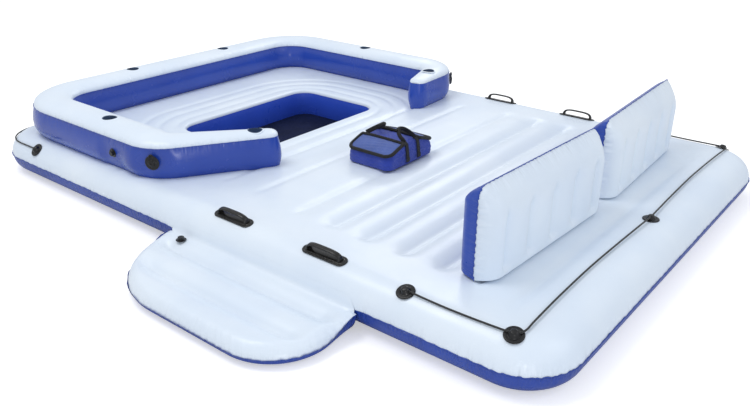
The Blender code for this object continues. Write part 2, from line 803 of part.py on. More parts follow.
def make_rope(name, route, radius, guide=False):
    """Rope along a smooth curve through the route's points."""
    points = [Vector(point) for point in route]
    smooth = []
    for i in range(len(points) - 1):
        before = points[max(i - 1, 0)]
        after = points[min(i + 2, len(points) - 1)]
        for step in range(rope_steps):
            t = step / rope_steps
            p0, p1 = points[i], points[i + 1]
            m0 = (p1 - before) / 2
            m1 = (after - p0) / 2
            smooth.append(p0 * (2 * t ** 3 - 3 * t ** 2 + 1) + m0 * (t ** 3 - 2 * t ** 2 + t)
                          + p1 * (3 * t ** 2 - 2 * t ** 3) + m1 * (t ** 3 - t ** 2))
    smooth.append(points[-1])
    curve = bpy.data.curves.new(name, "CURVE")
    curve.dimensions = "3D"
    curve.bevel_depth = radius
    curve.bevel_resolution = 2
    curve.use_fill_caps = True
    line = curve.splines.new("POLY")
    line.points.add(len(smooth) - 1)
    for point, place in zip(line.points, smooth):
        point.co = (*place, 1)
    curve.materials.append(finish("rope_black"))
    made = bpy.data.objects.new(name, curve)
    bpy.context.scene.collection.objects.link(made)
    if guide:
        bpy.context.view_layer.update()
        graph = bpy.context.evaluated_depsgraph_get()
        mesh = bpy.data.meshes.new_from_object(made.evaluated_get(graph))
        bpy.data.objects.remove(made)
        return add_object(name, mesh, "rope_black")
    return made


def make_eye(name, frame, guide=None):
    """Round patch with a raised boss that the rope runs through."""
    lip = eye_thickness
    profile = [(0, 0), (eye_radius, 0), (eye_radius, lip / 2), (eye_radius - lip / 2, lip),
               (eye_boss_radius + lip, lip), (eye_boss_radius, lip * 2)]
    profile += [(eye_boss_radius * wide, eye_boss_height * level) for wide, level in boss_shares]
    profile.append((0, eye_boss_height))
    made = add_object(name, turned(profile, eye_sides), "black_moulding", frame)
    if guide is not None:
        cut(made, guide)
    return made


def make_bag():
    """Cooler bag: lofted body with a middle band, a liner, two lids and two carry handles."""
    foot = hull_height + gap
    half_x = bag_width / 2
    half_y = bag_length / 2
    band = bag_band / 2
    place = Matrix.Translation((bag_x, bag_y, foot))
    low = bag_end_height
    high = bag_height
    outline = [(-half_y, 0), (half_y, 0), (half_y, low), (band, high), (-band, high), (-half_y, low)]
    body = bmesh.new()
    ends = []
    for x in (-half_x, half_x):
        ends.append([body.verts.new((x, y, z)) for y, z in outline])
    body.faces.new(list(reversed(ends[0])))
    body.faces.new(ends[1])
    count = len(outline)
    for i in range(count):
        j = (i + 1) % count
        body.faces.new((ends[0][i], ends[0][j], ends[1][j], ends[1][i]))
    bmesh.ops.recalc_face_normals(body, faces=body.faces)
    upright = [edge for edge in body.edges
               if abs(edge.verts[0].co.z - edge.verts[1].co.z) > low / 2
               and abs(edge.verts[0].co.y - edge.verts[1].co.y) < gap]
    bmesh.ops.bevel(body, geom=upright, offset=bag_round, offset_type="OFFSET", segments=3,
                    profile=0.5, affect="EDGES", clamp_overlap=True, material=-1)
    bag = add_object("bag_body", body, "bag_fabric", place)

    inner_x = half_x - bag_wall
    inner_y = half_y - bag_wall
    ceiling = high - bag_wall
    above = high + overrun
    cavity = [(-inner_y, bag_wall), (inner_y, bag_wall), (inner_y, above), (band, above), (band, ceiling),
              (-band, ceiling), (-band, above), (-inner_y, above)]
    hollow = loft([[(x, y, z) for y, z in cavity] for x in (-inner_x, inner_x)])
    cut(bag, add_object("bag_hollow_cut", hollow, "bag_fabric", place))

    floor = bag_wall + gap
    rings = []
    for inset, height in ((gap + liner_wall, floor + liner_wall), (gap + liner_wall, low - bag_wall),
                          (gap, low - bag_wall), (gap, floor)):
        outline = rounded_outline(-inner_x + inset, inner_x - inset, -inner_y + inset, inner_y - inset,
                                  [bag_round] * 4, [2] * 4)
        rings.append([(x, y, height) for x, y in outline])
    add_object("bag_liner", loft(rings), "liner_foil", place)

    slope = Vector((0, half_y - band, low - high)).normalized()
    for label, side in (("front", -1), ("rear", 1)):
        hinge = Vector((0, side * half_y, low))
        along = Vector((0, -side * slope.y, -slope.z))
        up = Vector((0, side * -slope.z, slope.y))
        span = (half_y - band) / slope.y - lid_clearance
        rings = []
        for lift in (gap, gap + lid_thickness):
            ring = []
            start_inset = lid_thickness / 2 * (lift > gap)
            for x, share in ((-half_x, 0), (half_x, 0), (half_x, 1), (-half_x, 1)):
                inset = start_inset if x < 0 else -start_inset
                step = start_inset + (span - 2 * start_inset) * share
                ring.append(Vector((x + inset, 0, 0)) + along * step + up * lift)
            rings.append(ring)
        lid = loft(rings)
        add_object(f"bag_lid_{label}", lid, "bag_lid", place @ Matrix.Translation(hinge))

    for label, side in (("inner", -1), ("outer", 1)):
        hinge = Vector((side * (half_x - bag_round), 0, high + gap))
        mid = strap_leg_spacing / 2
        wide = strap_width / 2
        arc = 10
        outer = [(0.0, -mid - wide)]
        inner = [(0.0, -mid + wide)]
        bend = strap_reach - mid - wide
        for i in range(arc + 1):
            angle = -quarter + math.pi * i / arc
            outer.append((bend + (mid + wide) * math.cos(angle), (mid + wide) * math.sin(angle)))
            inner.append((bend + (mid - wide) * math.cos(angle), (mid - wide) * math.sin(angle)))
        outer.append((0.0, mid + wide))
        inner.append((0.0, mid - wide))
        shape = bmesh.new()
        rows = []
        for height in (0.0, strap_thickness):
            rows.append([[shape.verts.new((-side * x, y, height)) for x, y in line] for line in (outer, inner)])
        for i in range(len(outer) - 1):
            for low_row, high_row in ((rows[0][0], rows[1][0]), (rows[1][0], rows[1][1]),
                                      (rows[1][1], rows[0][1]), (rows[0][1], rows[0][0])):
                shape.faces.new((low_row[i], low_row[i + 1], high_row[i + 1], high_row[i]))
        for i in (0, len(outer) - 1):
            shape.faces.new((rows[0][0][i], rows[1][0][i], rows[1][1][i], rows[0][1][i]))
        add_object(f"bag_handle_{label}", shape, "bag_webbing", place @ Matrix.Translation(hinge))

    for side in (-1, 1):
        for end in (-1, 1):
            size = (2 * strap_thickness, strap_width, high - bag_round)
            middle = (side * half_x, end * strap_leg_spacing / 2, bag_round / 2 + size[2] / 2)
            strap = bmesh.new()
            matrix = Matrix.Translation(middle) @ Matrix.Diagonal((*size, 1))
            bmesh.ops.create_cube(strap, size=1, matrix=matrix)
            cut(bag, add_object(f"bag_webbing_guide_{side}_{end}", strap, "bag_webbing", place), "UNION")


def main():
    panels = make_hull()
    make_mattress()
    make_well()
    bolster, top = make_bolster()
    bolster_tree = bvh_of(bolster)
    make_cups(bolster, top)
    make_backrests()
    platform = make_platform()
    trees = {name: bvh_of(item) for name, item in panels.items()}
    above = bolster_top + overrun

    for number, (side, x) in enumerate(((-1, handle_first_x), (-1, handle_second_x),
                                        (1, handle_first_x), (1, handle_second_x)), 1):
        label = "front" if side < 0 else "rear"
        owner = "deck_top_centre" if x < lounge_start else f"deck_top_side_{label}"
        frame = seat_frame(trees[owner], (x, side * handle_y, above), (0, 0, -1), (1, 0, 0))
        make_handle(f"grab_handle_{number}", frame)

    lounge_route = rope_route(lounge_rope_corner, lounge_rope_end, 1)
    sofa_route = rope_route(sofa_rope_corner, sofa_rope_end, -1)
    make_rope("lounge_rope", lounge_route, rope_radius)
    make_rope("sofa_rope", sofa_route, rope_radius)
    guides = [make_rope("lounge_rope_guide", lounge_route, rope_radius + rope_clearance, True),
              make_rope("sofa_rope_guide", sofa_route, rope_radius + rope_clearance, True)]
    lounge_eyes = [(half_length - end, side - half_width) for end, side in lounge_eye_insets]
    lounge_eyes += [(half_length - lounge_middle_eye_inset, 0.0)]
    lounge_eyes += [(half_length - end, half_width - side) for end, side in reversed(lounge_eye_insets)]
    sofa_eyes = [(end - half_length, side - half_width) for end, side in sofa_eye_insets]
    sofa_eyes += [(end - half_length, half_width - side) for end, side in reversed(sofa_eye_insets)]
    for number, (x, y) in enumerate(lounge_eyes, 1):
        label = "front" if y < 0 else "rear"
        owner = "deck_top_lounge_end" if x > lounge_end else f"deck_top_side_{label}"
        frame = seat_frame(trees[owner], (x, y, above), (0, 0, -1), (1, 0, 0))
        make_eye(f"lounge_rope_eye_{number}", frame, guides[0])
    for number, (x, y) in enumerate(sofa_eyes, 1):
        frame = seat_frame(trees["deck_top_sofa_end"], (x, y, above), (0, 0, -1), (1, 0, 0))
        make_eye(f"sofa_rope_eye_{number}", frame, guides[1])

    make_bolster_eyes(bolster_tree)
    level = hull_height + (bolster_seam - hull_height) * bolster_valve_level_share
    frame = seat_frame(bolster_tree, (bolster_valve_x, -hull_width, level), (0, 1, 0), (0, 0, 1))
    make_valve("bolster", frame)
    frame = seat_frame(trees["deck_top_seat_rear"], (hull_valve_x, half_width - shoulder_width / 3, above),
                       (0, 0, -1), (1, 0, 0))
    make_valve("hull", frame)
    valve_y = hinge_y - platform_hinge_margin * platform_valve_share
    frame = seat_frame(bvh_of(platform), (platform_valve_x, valve_y, above), (0, 0, -1), (1, 0, 0))
    make_valve("platform", frame)
    make_bag()


def make_bolster_eyes(tree):
    """Four lashing eyes on the bolster's outer wall, at its corners."""
    level = hull_height + (bolster_seam - hull_height) * bolster_eye_level_share
    spots = []
    for side, arm_x, arm_angle in ((-1, front_arm_x, front_arm_angle), (1, rear_arm_x, rear_arm_angle)):
        corner = Vector((bolster_end_x + bolster_corner, side * (bolster_side_y - bolster_corner)))
        spots.append((corner, Vector((-1, side)).normalized()))
        half_turn = math.radians(arm_angle) / 2
        corner = Vector((arm_x, side * bolster_side_y))
        spots.append((corner, Vector((math.sin(half_turn), side * math.cos(half_turn)))))
    lip = eye_thickness
    profile = [(0, 0), (eye_radius, 0), (eye_radius, lip / 2), (eye_radius - lip / 2, lip),
               (eye_boss_radius, lip), (eye_boss_radius * bolster_boss_share, lip * 2.6), (0, lip * 3)]
    for number, (centre, away) in enumerate(spots, 1):
        start = (*(centre + away * hull_width), level)
        frame = seat_frame(tree, start, (-away.x, -away.y, 0), (0, 0, 1))
        add_object(f"bolster_eye_{number}", turned(profile, eye_sides), "black_moulding", frame)


main()
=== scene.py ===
# Inflatable floating island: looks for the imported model. Metres, +Z up, in the row frame.

import math

import bmesh
import bpy
import numpy as np
from mathutils import Matrix, Vector


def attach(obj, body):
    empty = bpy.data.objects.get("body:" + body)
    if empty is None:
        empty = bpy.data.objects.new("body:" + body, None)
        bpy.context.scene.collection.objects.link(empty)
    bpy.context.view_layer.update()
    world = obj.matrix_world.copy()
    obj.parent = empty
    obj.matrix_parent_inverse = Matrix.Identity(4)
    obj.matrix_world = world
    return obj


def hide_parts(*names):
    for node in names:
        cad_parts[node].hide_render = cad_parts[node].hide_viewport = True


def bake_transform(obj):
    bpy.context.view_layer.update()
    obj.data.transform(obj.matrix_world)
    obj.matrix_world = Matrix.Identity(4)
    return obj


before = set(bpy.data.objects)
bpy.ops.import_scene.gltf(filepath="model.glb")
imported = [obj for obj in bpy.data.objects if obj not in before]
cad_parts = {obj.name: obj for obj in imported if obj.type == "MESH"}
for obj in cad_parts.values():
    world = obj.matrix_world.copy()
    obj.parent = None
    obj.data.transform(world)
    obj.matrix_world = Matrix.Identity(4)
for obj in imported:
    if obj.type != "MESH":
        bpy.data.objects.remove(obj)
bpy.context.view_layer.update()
scene = bpy.context.scene
quarter = math.pi / 2
turn = 2 * math.pi
upward = Vector((0, 0, 1))

# Camera: place in metres, angles in degrees, lens and sensor in millimetres
view = {"place": (2.785, -3.42, 1.82), "yaw": 38.55, "pitch": 24.45, "roll": 0.4, "lens": 36.34,
        "sensor": 36.0}


def makeCamera():
    yaw, pitch, roll = (math.radians(view[key]) for key in ("yaw", "pitch", "roll"))
    forward = Vector((-math.sin(yaw) * math.cos(pitch), math.cos(yaw) * math.cos(pitch), -math.sin(pitch)))
    right = forward.cross(upward).normalized()
    up = right.cross(forward)
    rolledRight = right * math.cos(roll) + up * math.sin(roll)
    rolledUp = up * math.cos(roll) - right * math.sin(roll)
    data = bpy.data.cameras.new("camera")
    data.sensor_width = view["sensor"]
    data.lens = view["lens"]
    data.clip_end = 200
    camera = bpy.data.objects.new("camera", data)
    pose = Matrix((rolledRight, rolledUp, -forward)).transposed().to_4x4()
    pose.translation = view["place"]
    camera.matrix_world = pose
    scene.collection.objects.link(camera)
    scene.camera = camera


# Materials
class Nodes:
    def __init__(self, name):
        self.material = bpy.data.materials.new(name)
        self.material.use_nodes = True
        self.tree = self.material.node_tree
        self.shader = self.tree.nodes["Principled BSDF"]
        self.coords = self.tree.nodes.new("ShaderNodeTexCoord")

    def link(self, source, target):
        self.tree.links.new(source, target)

    def value(self, socket, source):
        if hasattr(source, "is_output"):
            self.link(source, socket)
        else:
            socket.default_value = source

    def scaled(self, scale, source):
        node = self.tree.nodes.new("ShaderNodeMapping")
        node.inputs["Scale"].default_value = scale
        self.link(source, node.inputs["Vector"])
        return node.outputs["Vector"]

    def noise(self, scale, detail=2.0, roughness=0.5, distortion=0.0, vector=None):
        node = self.tree.nodes.new("ShaderNodeTexNoise")
        node.inputs["Scale"].default_value = scale
        node.inputs["Detail"].default_value = detail
        node.inputs["Roughness"].default_value = roughness
        node.inputs["Distortion"].default_value = distortion
        self.link(vector or self.coords.outputs["Object"], node.inputs["Vector"])
        return node.outputs["Fac"]

    def wave(self, direction, vector):
        node = self.tree.nodes.new("ShaderNodeTexWave")
        node.bands_direction = direction
        node.inputs["Scale"].default_value = 1.0
        self.link(vector, node.inputs["Vector"])
        return node.outputs["Fac"]

    def math(self, operation, first, second):
        node = self.tree.nodes.new("ShaderNodeMath")
        node.operation = operation
        for socket, source in zip(node.inputs, (first, second)):
            self.value(socket, source)
        return node.outputs[0]

    def span(self, source, low, high, toLow=0.0, toHigh=1.0, smooth=False):
        node = self.tree.nodes.new("ShaderNodeMapRange")
        if smooth:
            node.interpolation_type = "SMOOTHSTEP"
        for socket, number in zip(node.inputs[1:5], (low, high, toLow, toHigh)):
            socket.default_value = number
        self.link(source, node.inputs[0])
        return node.outputs[0]

    def mix(self, share, first, second):
        node = self.tree.nodes.new("ShaderNodeMix")
        node.data_type = "RGBA"
        self.value(node.inputs[0], share)
        for socket, source in ((node.inputs[6], first), (node.inputs[7], second)):
            self.value(socket, source if hasattr(source, "is_output") else (*source, 1.0))
        return node.outputs[2]

    # The piece's own map: length along a seam or thread, and distance away from it
    def uv(self):
        node = self.tree.nodes.new("ShaderNodeUVMap")
        node.uv_map = "lay"
        return node.outputs["UV"]

    def away(self, uv):
        node = self.tree.nodes.new("ShaderNodeSeparateXYZ")
        self.link(uv, node.inputs[0])
        return node.outputs["Y"]

    def bump(self, layers):
        previous = None
        for height, distance in layers:
            node = self.tree.nodes.new("ShaderNodeBump")
            node.inputs["Distance"].default_value = distance
            node.inputs["Strength"].default_value = 1.0
            self.link(height, node.inputs["Height"])
            if previous:
                self.link(previous, node.inputs["Normal"])
            previous = node.outputs["Normal"]
        self.link(previous, self.shader.inputs["Normal"])

    def finish(self, colour, roughness, **plain):
        self.value(self.shader.inputs["Base Color"], colour)
        self.value(self.shader.inputs["Roughness"], roughness)
        for name, number in plain.items():
            self.shader.inputs[name.replace("_", " ")].default_value = number
        return self.material


def dimmed(colour, share):
    return tuple(channel * share for channel in colour)


# Sheet PVC: soft waves, a fine grain and, by the welded seam, puckers that run across it
def pvcMaterial(name, colour, shade, roughness, puckerShare, coat, specular):
    nodes = Nodes(name)
    colourOut = nodes.mix(nodes.span(nodes.noise(2.2, 3.0, 0.55), 0.35, 0.68), shade, colour)
    layers = [(nodes.noise(3.6, 3.0, 0.5, 0.6), 0.004), (nodes.noise(260.0, 2.0), 0.00008)]
    if puckerShare:
        uv = nodes.uv()
        away = nodes.away(uv)
        for scale, detail, distortion, reach, depth in (((30.0, 5.0, 1.0), 2.0, 0.3, 0.085, 0.010),
                                                        ((75.0, 9.0, 1.0), 1.0, 0.2, 0.034, 0.006)):
            creases = nodes.noise(1.0, detail, 0.5, distortion, nodes.scaled(scale, uv))
            near = nodes.span(away, 0.0, reach, 1.0, 0.0, True)
            layers.append((nodes.math("MULTIPLY", creases, near), depth * puckerShare))
        weld = nodes.span(away, 0.0015, 0.004, 1.0, 0.0, True)
        colourOut = nodes.mix(nodes.math("MULTIPLY", weld, 0.25), colourOut, dimmed(shade, 0.55))
    nodes.bump(layers)
    rough = nodes.span(nodes.noise(7.0, 3.0, 0.6), 0.3, 0.7, roughness - 0.05, roughness + 0.06)
    return nodes.finish(colourOut, rough, Coat_Weight=coat, Coat_Roughness=0.20, Specular_IOR_Level=specular)


# Moulded plastic: a fine grain over slight waves
def mouldedMaterial(name, colour, roughness):
    nodes = Nodes(name)
    colourOut = nodes.mix(nodes.noise(14.0, 3.0), dimmed(colour, 0.75), dimmed(colour, 1.35))
    nodes.bump([(nodes.noise(420.0, 2.0), 0.00012), (nodes.noise(35.0, 2.0), 0.0004)])
    rough = nodes.span(nodes.noise(18.0, 3.0), 0.3, 0.7, roughness - 0.06, roughness + 0.08)
    return nodes.finish(colourOut, rough, Specular_IOR_Level=0.45)


# Woven cloth or webbing, on a map in metres
def weaveMaterial(name, colour, shade, pitch, roughness, depth, sheen=0.2, specular=0.5):
    nodes = Nodes(name)
    lay = nodes.scaled((1 / pitch, 1 / pitch, 1.0), nodes.uv())
    threads = nodes.math("MULTIPLY", nodes.wave("X", lay), nodes.wave("Y", lay))
    body = nodes.mix(nodes.span(nodes.noise(9.0, 3.0, 0.55), 0.32, 0.68), shade, colour)
    # Painted shade: the cloth is darker in the gaps between its threads
    colourOut = nodes.mix(nodes.span(threads, 0.0, 0.6, 0.30, 0.0), body, dimmed(shade, 0.5))
    nodes.bump([(threads, depth), (nodes.noise(24.0, 3.0), 0.003)])
    rough = nodes.span(threads, 0.0, 1.0, roughness + 0.08, roughness)
    return nodes.finish(colourOut, rough, Sheen_Weight=sheen, Sheen_Roughness=0.5,
                        Specular_IOR_Level=specular)


# Braid: two sets of strands that cross
def braidMaterial(name, colour, along=95.0, around=260.0):
    nodes = Nodes(name)
    uv = nodes.uv()
    one, other = (nodes.wave("DIAGONAL", nodes.scaled((along, way * around, 1.0), uv)) for way in (1, -1))
    strands = nodes.math("MAXIMUM", one, other)
    # Painted shade in the grooves between the strands, painted light on their crests
    colourOut = nodes.mix(strands, dimmed(colour, 0.4), dimmed(colour, 1.8))
    nodes.bump([(strands, 0.0009)])
    return nodes.finish(colourOut, nodes.span(strands, 0.0, 1.0, 0.75, 0.55), Sheen_Weight=0.2)


def foilMaterial(name):
    nodes = Nodes(name)
    crease = nodes.noise(26.0, 4.0, 0.6, 0.8)
    nodes.bump([(crease, 0.006)])
    # Painted shade in the hollows of the crinkles and painted light on their ridges
    colourOut = nodes.mix(crease, (0.55, 0.56, 0.58), (0.86, 0.87, 0.88))
    return nodes.finish(colourOut, nodes.span(crease, 0.2, 0.8, 0.22, 0.42), Metallic=0.9)


# Colours of the sheet or thread and of its shade
whitePvc = ((0.790, 0.865, 0.950), (0.725, 0.812, 0.925))
bluePvc = ((0.028, 0.080, 0.440), (0.020, 0.060, 0.360))
wallPvc = ((0.026, 0.074, 0.430), (0.020, 0.060, 0.370))
# Painted light: the well wall's blue is lighter than the other blue sheets, to make up for the shade down in
# the well
paintedLightWellPvc = ((0.040, 0.105, 0.640), (0.030, 0.084, 0.540))
netThread = ((0.008, 0.014, 0.058), (0.005, 0.010, 0.040))
bagThread = ((0.016, 0.054, 0.46), (0.010, 0.036, 0.34))
lidThread = ((0.075, 0.145, 0.50), (0.050, 0.105, 0.40))
webThread = ((0.008, 0.008, 0.010), (0.005, 0.005, 0.006))

# PVC: roughness, puckers, coat, specular level. Weaves: pitch, roughness, depth, sheen, specular level
looks = {
    "white": pvcMaterial("white_pvc_sheet", *whitePvc, 0.36, 1.0, 0.20, 0.40),
    "whitePlain": pvcMaterial("white_pvc_plain", *whitePvc, 0.36, 0.0, 0.20, 0.40),
    "blue": pvcMaterial("blue_pvc_sheet", *bluePvc, 0.30, 1.0, 0.10, 0.32),
    "blueWall": pvcMaterial("blue_pvc_wall", *wallPvc, 0.24, 0.30, 0.30, 0.40),
    # Well wall: the lighter blue is painted light where the well lies in shade
    "blueWellPaintedLight": pvcMaterial("blue_pvc_well_painted_light", *paintedLightWellPvc, 0.30, 0.40, 0.10, 0.32),
    "black": mouldedMaterial("black_moulded", (0.005, 0.005, 0.006), 0.28),
    "handle": mouldedMaterial("handle_moulded", (0.010, 0.0095, 0.009), 0.27),
    "cup": mouldedMaterial("cup_moulded", (0.060, 0.095, 0.165), 0.34),
    "net": weaveMaterial("net_coated", *netThread, 0.0015, 0.65, 0.0004, 0.0, 0.12),
    "rope": braidMaterial("rope_braided", (0.003, 0.003, 0.0035)),
    "bagCloth": weaveMaterial("bag_cloth", *bagThread, 0.0021, 0.58, 0.0005, 0.15),
    "lidCloth": weaveMaterial("lid_cloth", *lidThread, 0.0021, 0.50, 0.0005, 0.2),
    "webbing": weaveMaterial("webbing_woven", *webThread, 0.0026, 0.70, 0.0009, 0.05),
    "foil": foilMaterial("liner_foil_sheet"),
}
print("materials")


# Shape helpers
def ease(t):
    t = np.clip(t, 0.0, 1.0)
    return t * t * (3 - 2 * t)


# Quarter round: climbs steeply from 0 and levels out at 1
def dome(t):
    return np.sqrt(np.maximum(1 - (1 - np.clip(t, 0, 1)) ** 2, 0))


def groove(distance, width):
    return np.exp(-(distance / width) ** 2)


# Smooth uneven waves along a seam, between -1 and 1
def ripple(u, seed, pitch):
    total = np.zeros_like(u)
    for k, (share, shift) in enumerate(((1.0, 0.0), (1.618, 1.7), (2.414, 4.1), (0.382, 2.6))):
        total += np.sin(turn * u * share / pitch + shift + seed * (k + 1)) / (1.2 + k * 0.55)
    return np.tanh(total * 0.9)


# The same waves, between 0 and 1
def waves(u, seed, pitch):
    return 0.5 + 0.5 * ripple(u, seed, pitch)


# How far the puckers draw a sheet in: most a little way from the seam, nothing past the reach
def puckers(along, away, seed, pitch, depth, reach, atSeam=0.35, lead=0.004):
    return depth * waves(along, seed, pitch) * ease(1 - away / reach) * ease(away / lead + atSeam)


# Where a map closes on itself, its last face carries on instead of running back
def faceMap(mesh, uvs):
    corners = np.empty(len(mesh.loops), dtype=np.int32)
    mesh.loops.foreach_get("vertex_index", corners)
    lay = np.asarray(uvs, dtype=np.float32)[corners]
    starts = np.array([face.loop_start for face in mesh.polygons])
    sizes = np.array([face.loop_total for face in mesh.polygons])
    quads = np.repeat(sizes, sizes) == 4
    for way in (0, 1):
        places = lay[:, way]
        around = float(places.max() - places.min())
        high = np.repeat(np.maximum.reduceat(places, starts), sizes)
        low = np.repeat(np.minimum.reduceat(places, starts), sizes)
        back = (high - low > around * 0.8) & (places < (high + low) / 2) & quads
        lay[back, way] += around
    return lay.ravel()


def makePiece(name, points, faces, material, body, replaces=(), uvs=None, flat=None):
    mesh = bpy.data.meshes.new(name)
    mesh.from_pydata([tuple(map(float, point)) for point in points], [],
                     [tuple(map(int, face)) for face in faces])
    mesh.update()
    if uvs is not None:
        layer = mesh.uv_layers.new(name="lay")
        layer.data.foreach_set("uv", faceMap(mesh, uvs))
    shape = bmesh.new()
    shape.from_mesh(mesh)
    bmesh.ops.recalc_face_normals(shape, faces=shape.faces)
    shape.to_mesh(mesh)
    shape.free()
    mesh.shade_smooth()
    if flat is not None:
        mesh.set_sharp_from_angle(angle=math.radians(flat))
    mesh.materials.append(looks[material])
    made = bpy.data.objects.new(name, mesh)
    scene.collection.objects.link(made)
    if body:
        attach(made, body)
    else:
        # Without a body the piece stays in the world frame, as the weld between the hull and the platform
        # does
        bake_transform(made)
    if replaces:
        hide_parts(*replaces)
    return made


# Faces between rows of points, each row closed into a ring or open
def stripFaces(rows, count, start=0, closed=True):
    faces = []
    for row in range(rows - 1):
        first = start + row * count
        for i in range(count if closed else count - 1):
            j = (i + 1) % count
            faces.append((first + i, first + j, first + count + j, first + count + i))
    return faces


# Faces between a loop of points and the ring of new points that starts at first
def bridgeFaces(loop, first):
    count = len(loop)
    return [(loop[i], loop[(i + 1) % count], first + (i + 1) % count, first + i) for i in range(count)]


# Line positions through every mark, no further apart than the step
def spaced(marks, step):
    lines = [marks[0]]
    for low, high in zip(marks, marks[1:]):
        count = max(1, math.ceil((high - low) / step))
        lines += [low + (high - low) * (i + 1) / count for i in range(count)]
    return np.array(lines)


# Grid with a rim: plan points (x, y), distance past the grid, length along the rim, faces, points in the rim
# rows are distances out from the grid; hole is (x0, x1, y0, y1) on grid lines
def sheetGrid(xs, ys, rows, cornerSteps, hole=None):
    nx, ny = len(xs), len(ys)
    gx, gy = np.meshgrid(xs, ys, indexing="ij")
    grid = np.stack([gx.ravel(), gy.ravel()], axis=1)
    index = np.arange(nx * ny).reshape(nx, ny)
    faces = []
    for i in range(nx - 1):
        for j in range(ny - 1):
            middleX, middleY = (xs[i] + xs[i + 1]) / 2, (ys[j] + ys[j + 1]) / 2
            if hole and hole[0] < middleX < hole[1] and hole[2] < middleY < hole[3]:
                continue
            faces.append((index[i, j], index[i + 1, j], index[i + 1, j + 1], index[i, j + 1]))
    # The rim starts from each edge point, and fans out at the corners
    sides = [(index[:, 0], -quarter), (index[-1, :], 0.0), (index[::-1, -1], quarter),
             (index[0, ::-1], math.pi)]
    base, angles, run = [], [], []
    length = 0.0
    cornerStep = rows[-1] * quarter / cornerSteps
    for line, angle in sides:
        for k, vertex in enumerate(line):
            if k:
                length += float(np.linalg.norm(grid[vertex] - grid[line[k - 1]]))
            base.append(vertex)
            angles.append(angle)
            run.append(length)
        for k in range(1, cornerSteps):
            length += cornerStep
            base.append(line[-1])
            angles.append(angle + quarter * k / cornerSteps)
            run.append(length)
        length += cornerStep
    count, first = len(base), nx * ny
    away = np.stack([np.cos(angles), np.sin(angles)], axis=1)
    plan = np.concatenate([grid] + [grid[base] + away * distance for distance in rows])
    out = np.concatenate([np.zeros(first), np.repeat(rows, count)])
    along = np.concatenate([np.zeros(first), np.tile(run, len(rows))])
    for i in range(count):
        j = (i + 1) % count
        inner = (base[i],) if base[i] == base[j] else (base[i], base[j])
        faces.append((*inner, first + j, first + i))
    faces += stripFaces(len(rows), count, first)
    return plan, out, along, faces, count


# Vertices of a grid round a rectangle of its lines
def gridLoop(xs, ys, left, right, low, high):
    index = np.arange(len(xs) * len(ys)).reshape(len(xs), len(ys))
    i0, i1 = (int(np.argmin(abs(xs - line))) for line in (left, right))
    j0, j1 = (int(np.argmin(abs(ys - line))) for line in (low, high))
    return np.concatenate([index[i0:i1, j0], index[i1, j0:j1], index[i1:i0:-1, j1], index[i0, j1:j0:-1]])


# Nearest points of an inner rectangle, and unit directions away from it
def outwardFrom(plan, innerX, innerY):
    core = np.clip(plan, (-innerX, -innerY), (innerX, innerY))
    outward = plan - core
    return core, outward / np.maximum(np.linalg.norm(outward, axis=1), 1e-9)[:, None]


# About how far a rim point lies from the seam along the sheet; points inside the rim count as far
def seamDistance(corner, out, rise, riseShare=0.85):
    return np.where(out > 0, (corner - out) * 0.35 + rise * riseShare, 0.5)


# Nearest points on a rounded rectangle, matched zone by zone so that neighbours stay in order
def roundedTarget(points, centre, halfX, halfY, radius):
    local = points - centre
    sign = np.where(local < 0, -1.0, 1.0)
    size = np.abs(local)
    coreX, coreY = halfX - radius, halfY - radius
    dx = size[:, 0] - coreX
    dy = size[:, 1] - coreY
    corner = (dx > 0) & (dy > 0)
    length = np.maximum(np.hypot(dx, dy), 1e-9)
    onSideX = ~corner & (dx > 0)
    tx = np.where(corner, coreX + radius * dx / length, np.where(onSideX, halfX, size[:, 0]))
    ty = np.where(corner, coreY + radius * dy / length, np.where(onSideX, size[:, 1], halfY))
    return centre + np.stack([tx, ty], axis=1) * sign


def roundedDistance(x, y, halfX, halfY, radius):
    qx = np.abs(x) - (halfX - radius)
    qy = np.abs(y) - (halfY - radius)
    return np.hypot(np.maximum(qx, 0), np.maximum(qy, 0)) + np.minimum(np.maximum(qx, qy), 0) - radius


# Points of a curve that passes through the given ones
def smoothLine(points, steps):
    line = []
    for i in range(len(points) - 1):
        p0, p1 = np.array(points[i]), np.array(points[i + 1])
        before = np.array(points[max(i - 1, 0)])
        after = np.array(points[min(i + 2, len(points) - 1)])
        m0, m1 = (p1 - before) / 2, (after - p0) / 2
        for k in range(steps):
            t = k / steps
            line.append(p0 * (2 * t ** 3 - 3 * t ** 2 + 1) + m0 * (t ** 3 - 2 * t ** 2 + t)
                        + p1 * (3 * t ** 2 - 2 * t ** 3) + m1 * (t ** 3 - t ** 2))
    line.append(np.array(points[-1]))
    return line


# Round every corner of a (radius, height) line
def softened(profile, amount, steps=4):
    line = [profile[0]]
    for before, at, after in zip(profile, profile[1:], profile[2:]):
        before, at, after = (np.array(p, dtype=float) for p in (before, at, after))
        ends = []
        for way in (before - at, after - at):
            length = max(np.linalg.norm(way), 1e-9)
            ends.append(at + way / length * min(amount, length * 0.45))
        for k in range(steps + 1):
            t = k / steps
            line.append(tuple(ends[0] * (1 - t) ** 2 + at * 2 * t * (1 - t) + ends[1] * t ** 2))
    line.append(profile[-1])
    return line


# A (radius, height) line spun round Z: the points and faces of a turned part
def turnedPoints(profile, sides, pose=None):
    shape = bmesh.new()
    line = [shape.verts.new((radius, 0, height)) for radius, height in profile]
    edges = [shape.edges.new(pair) for pair in zip(line, line[1:])]
    bmesh.ops.spin(shape, geom=line + edges, cent=(0, 0, 0), axis=(0, 0, 1), angle=turn, steps=sides,
                   use_merge=True)
    bmesh.ops.remove_doubles(shape, verts=shape.verts, dist=1e-6)
    if pose:
        bmesh.ops.transform(shape, matrix=pose, verts=shape.verts)
    shape.verts.index_update()
    points = [tuple(vert.co) for vert in shape.verts]
    faces = [tuple(vert.index for vert in face.verts) for face in shape.faces]
    shape.free()
    return points, faces


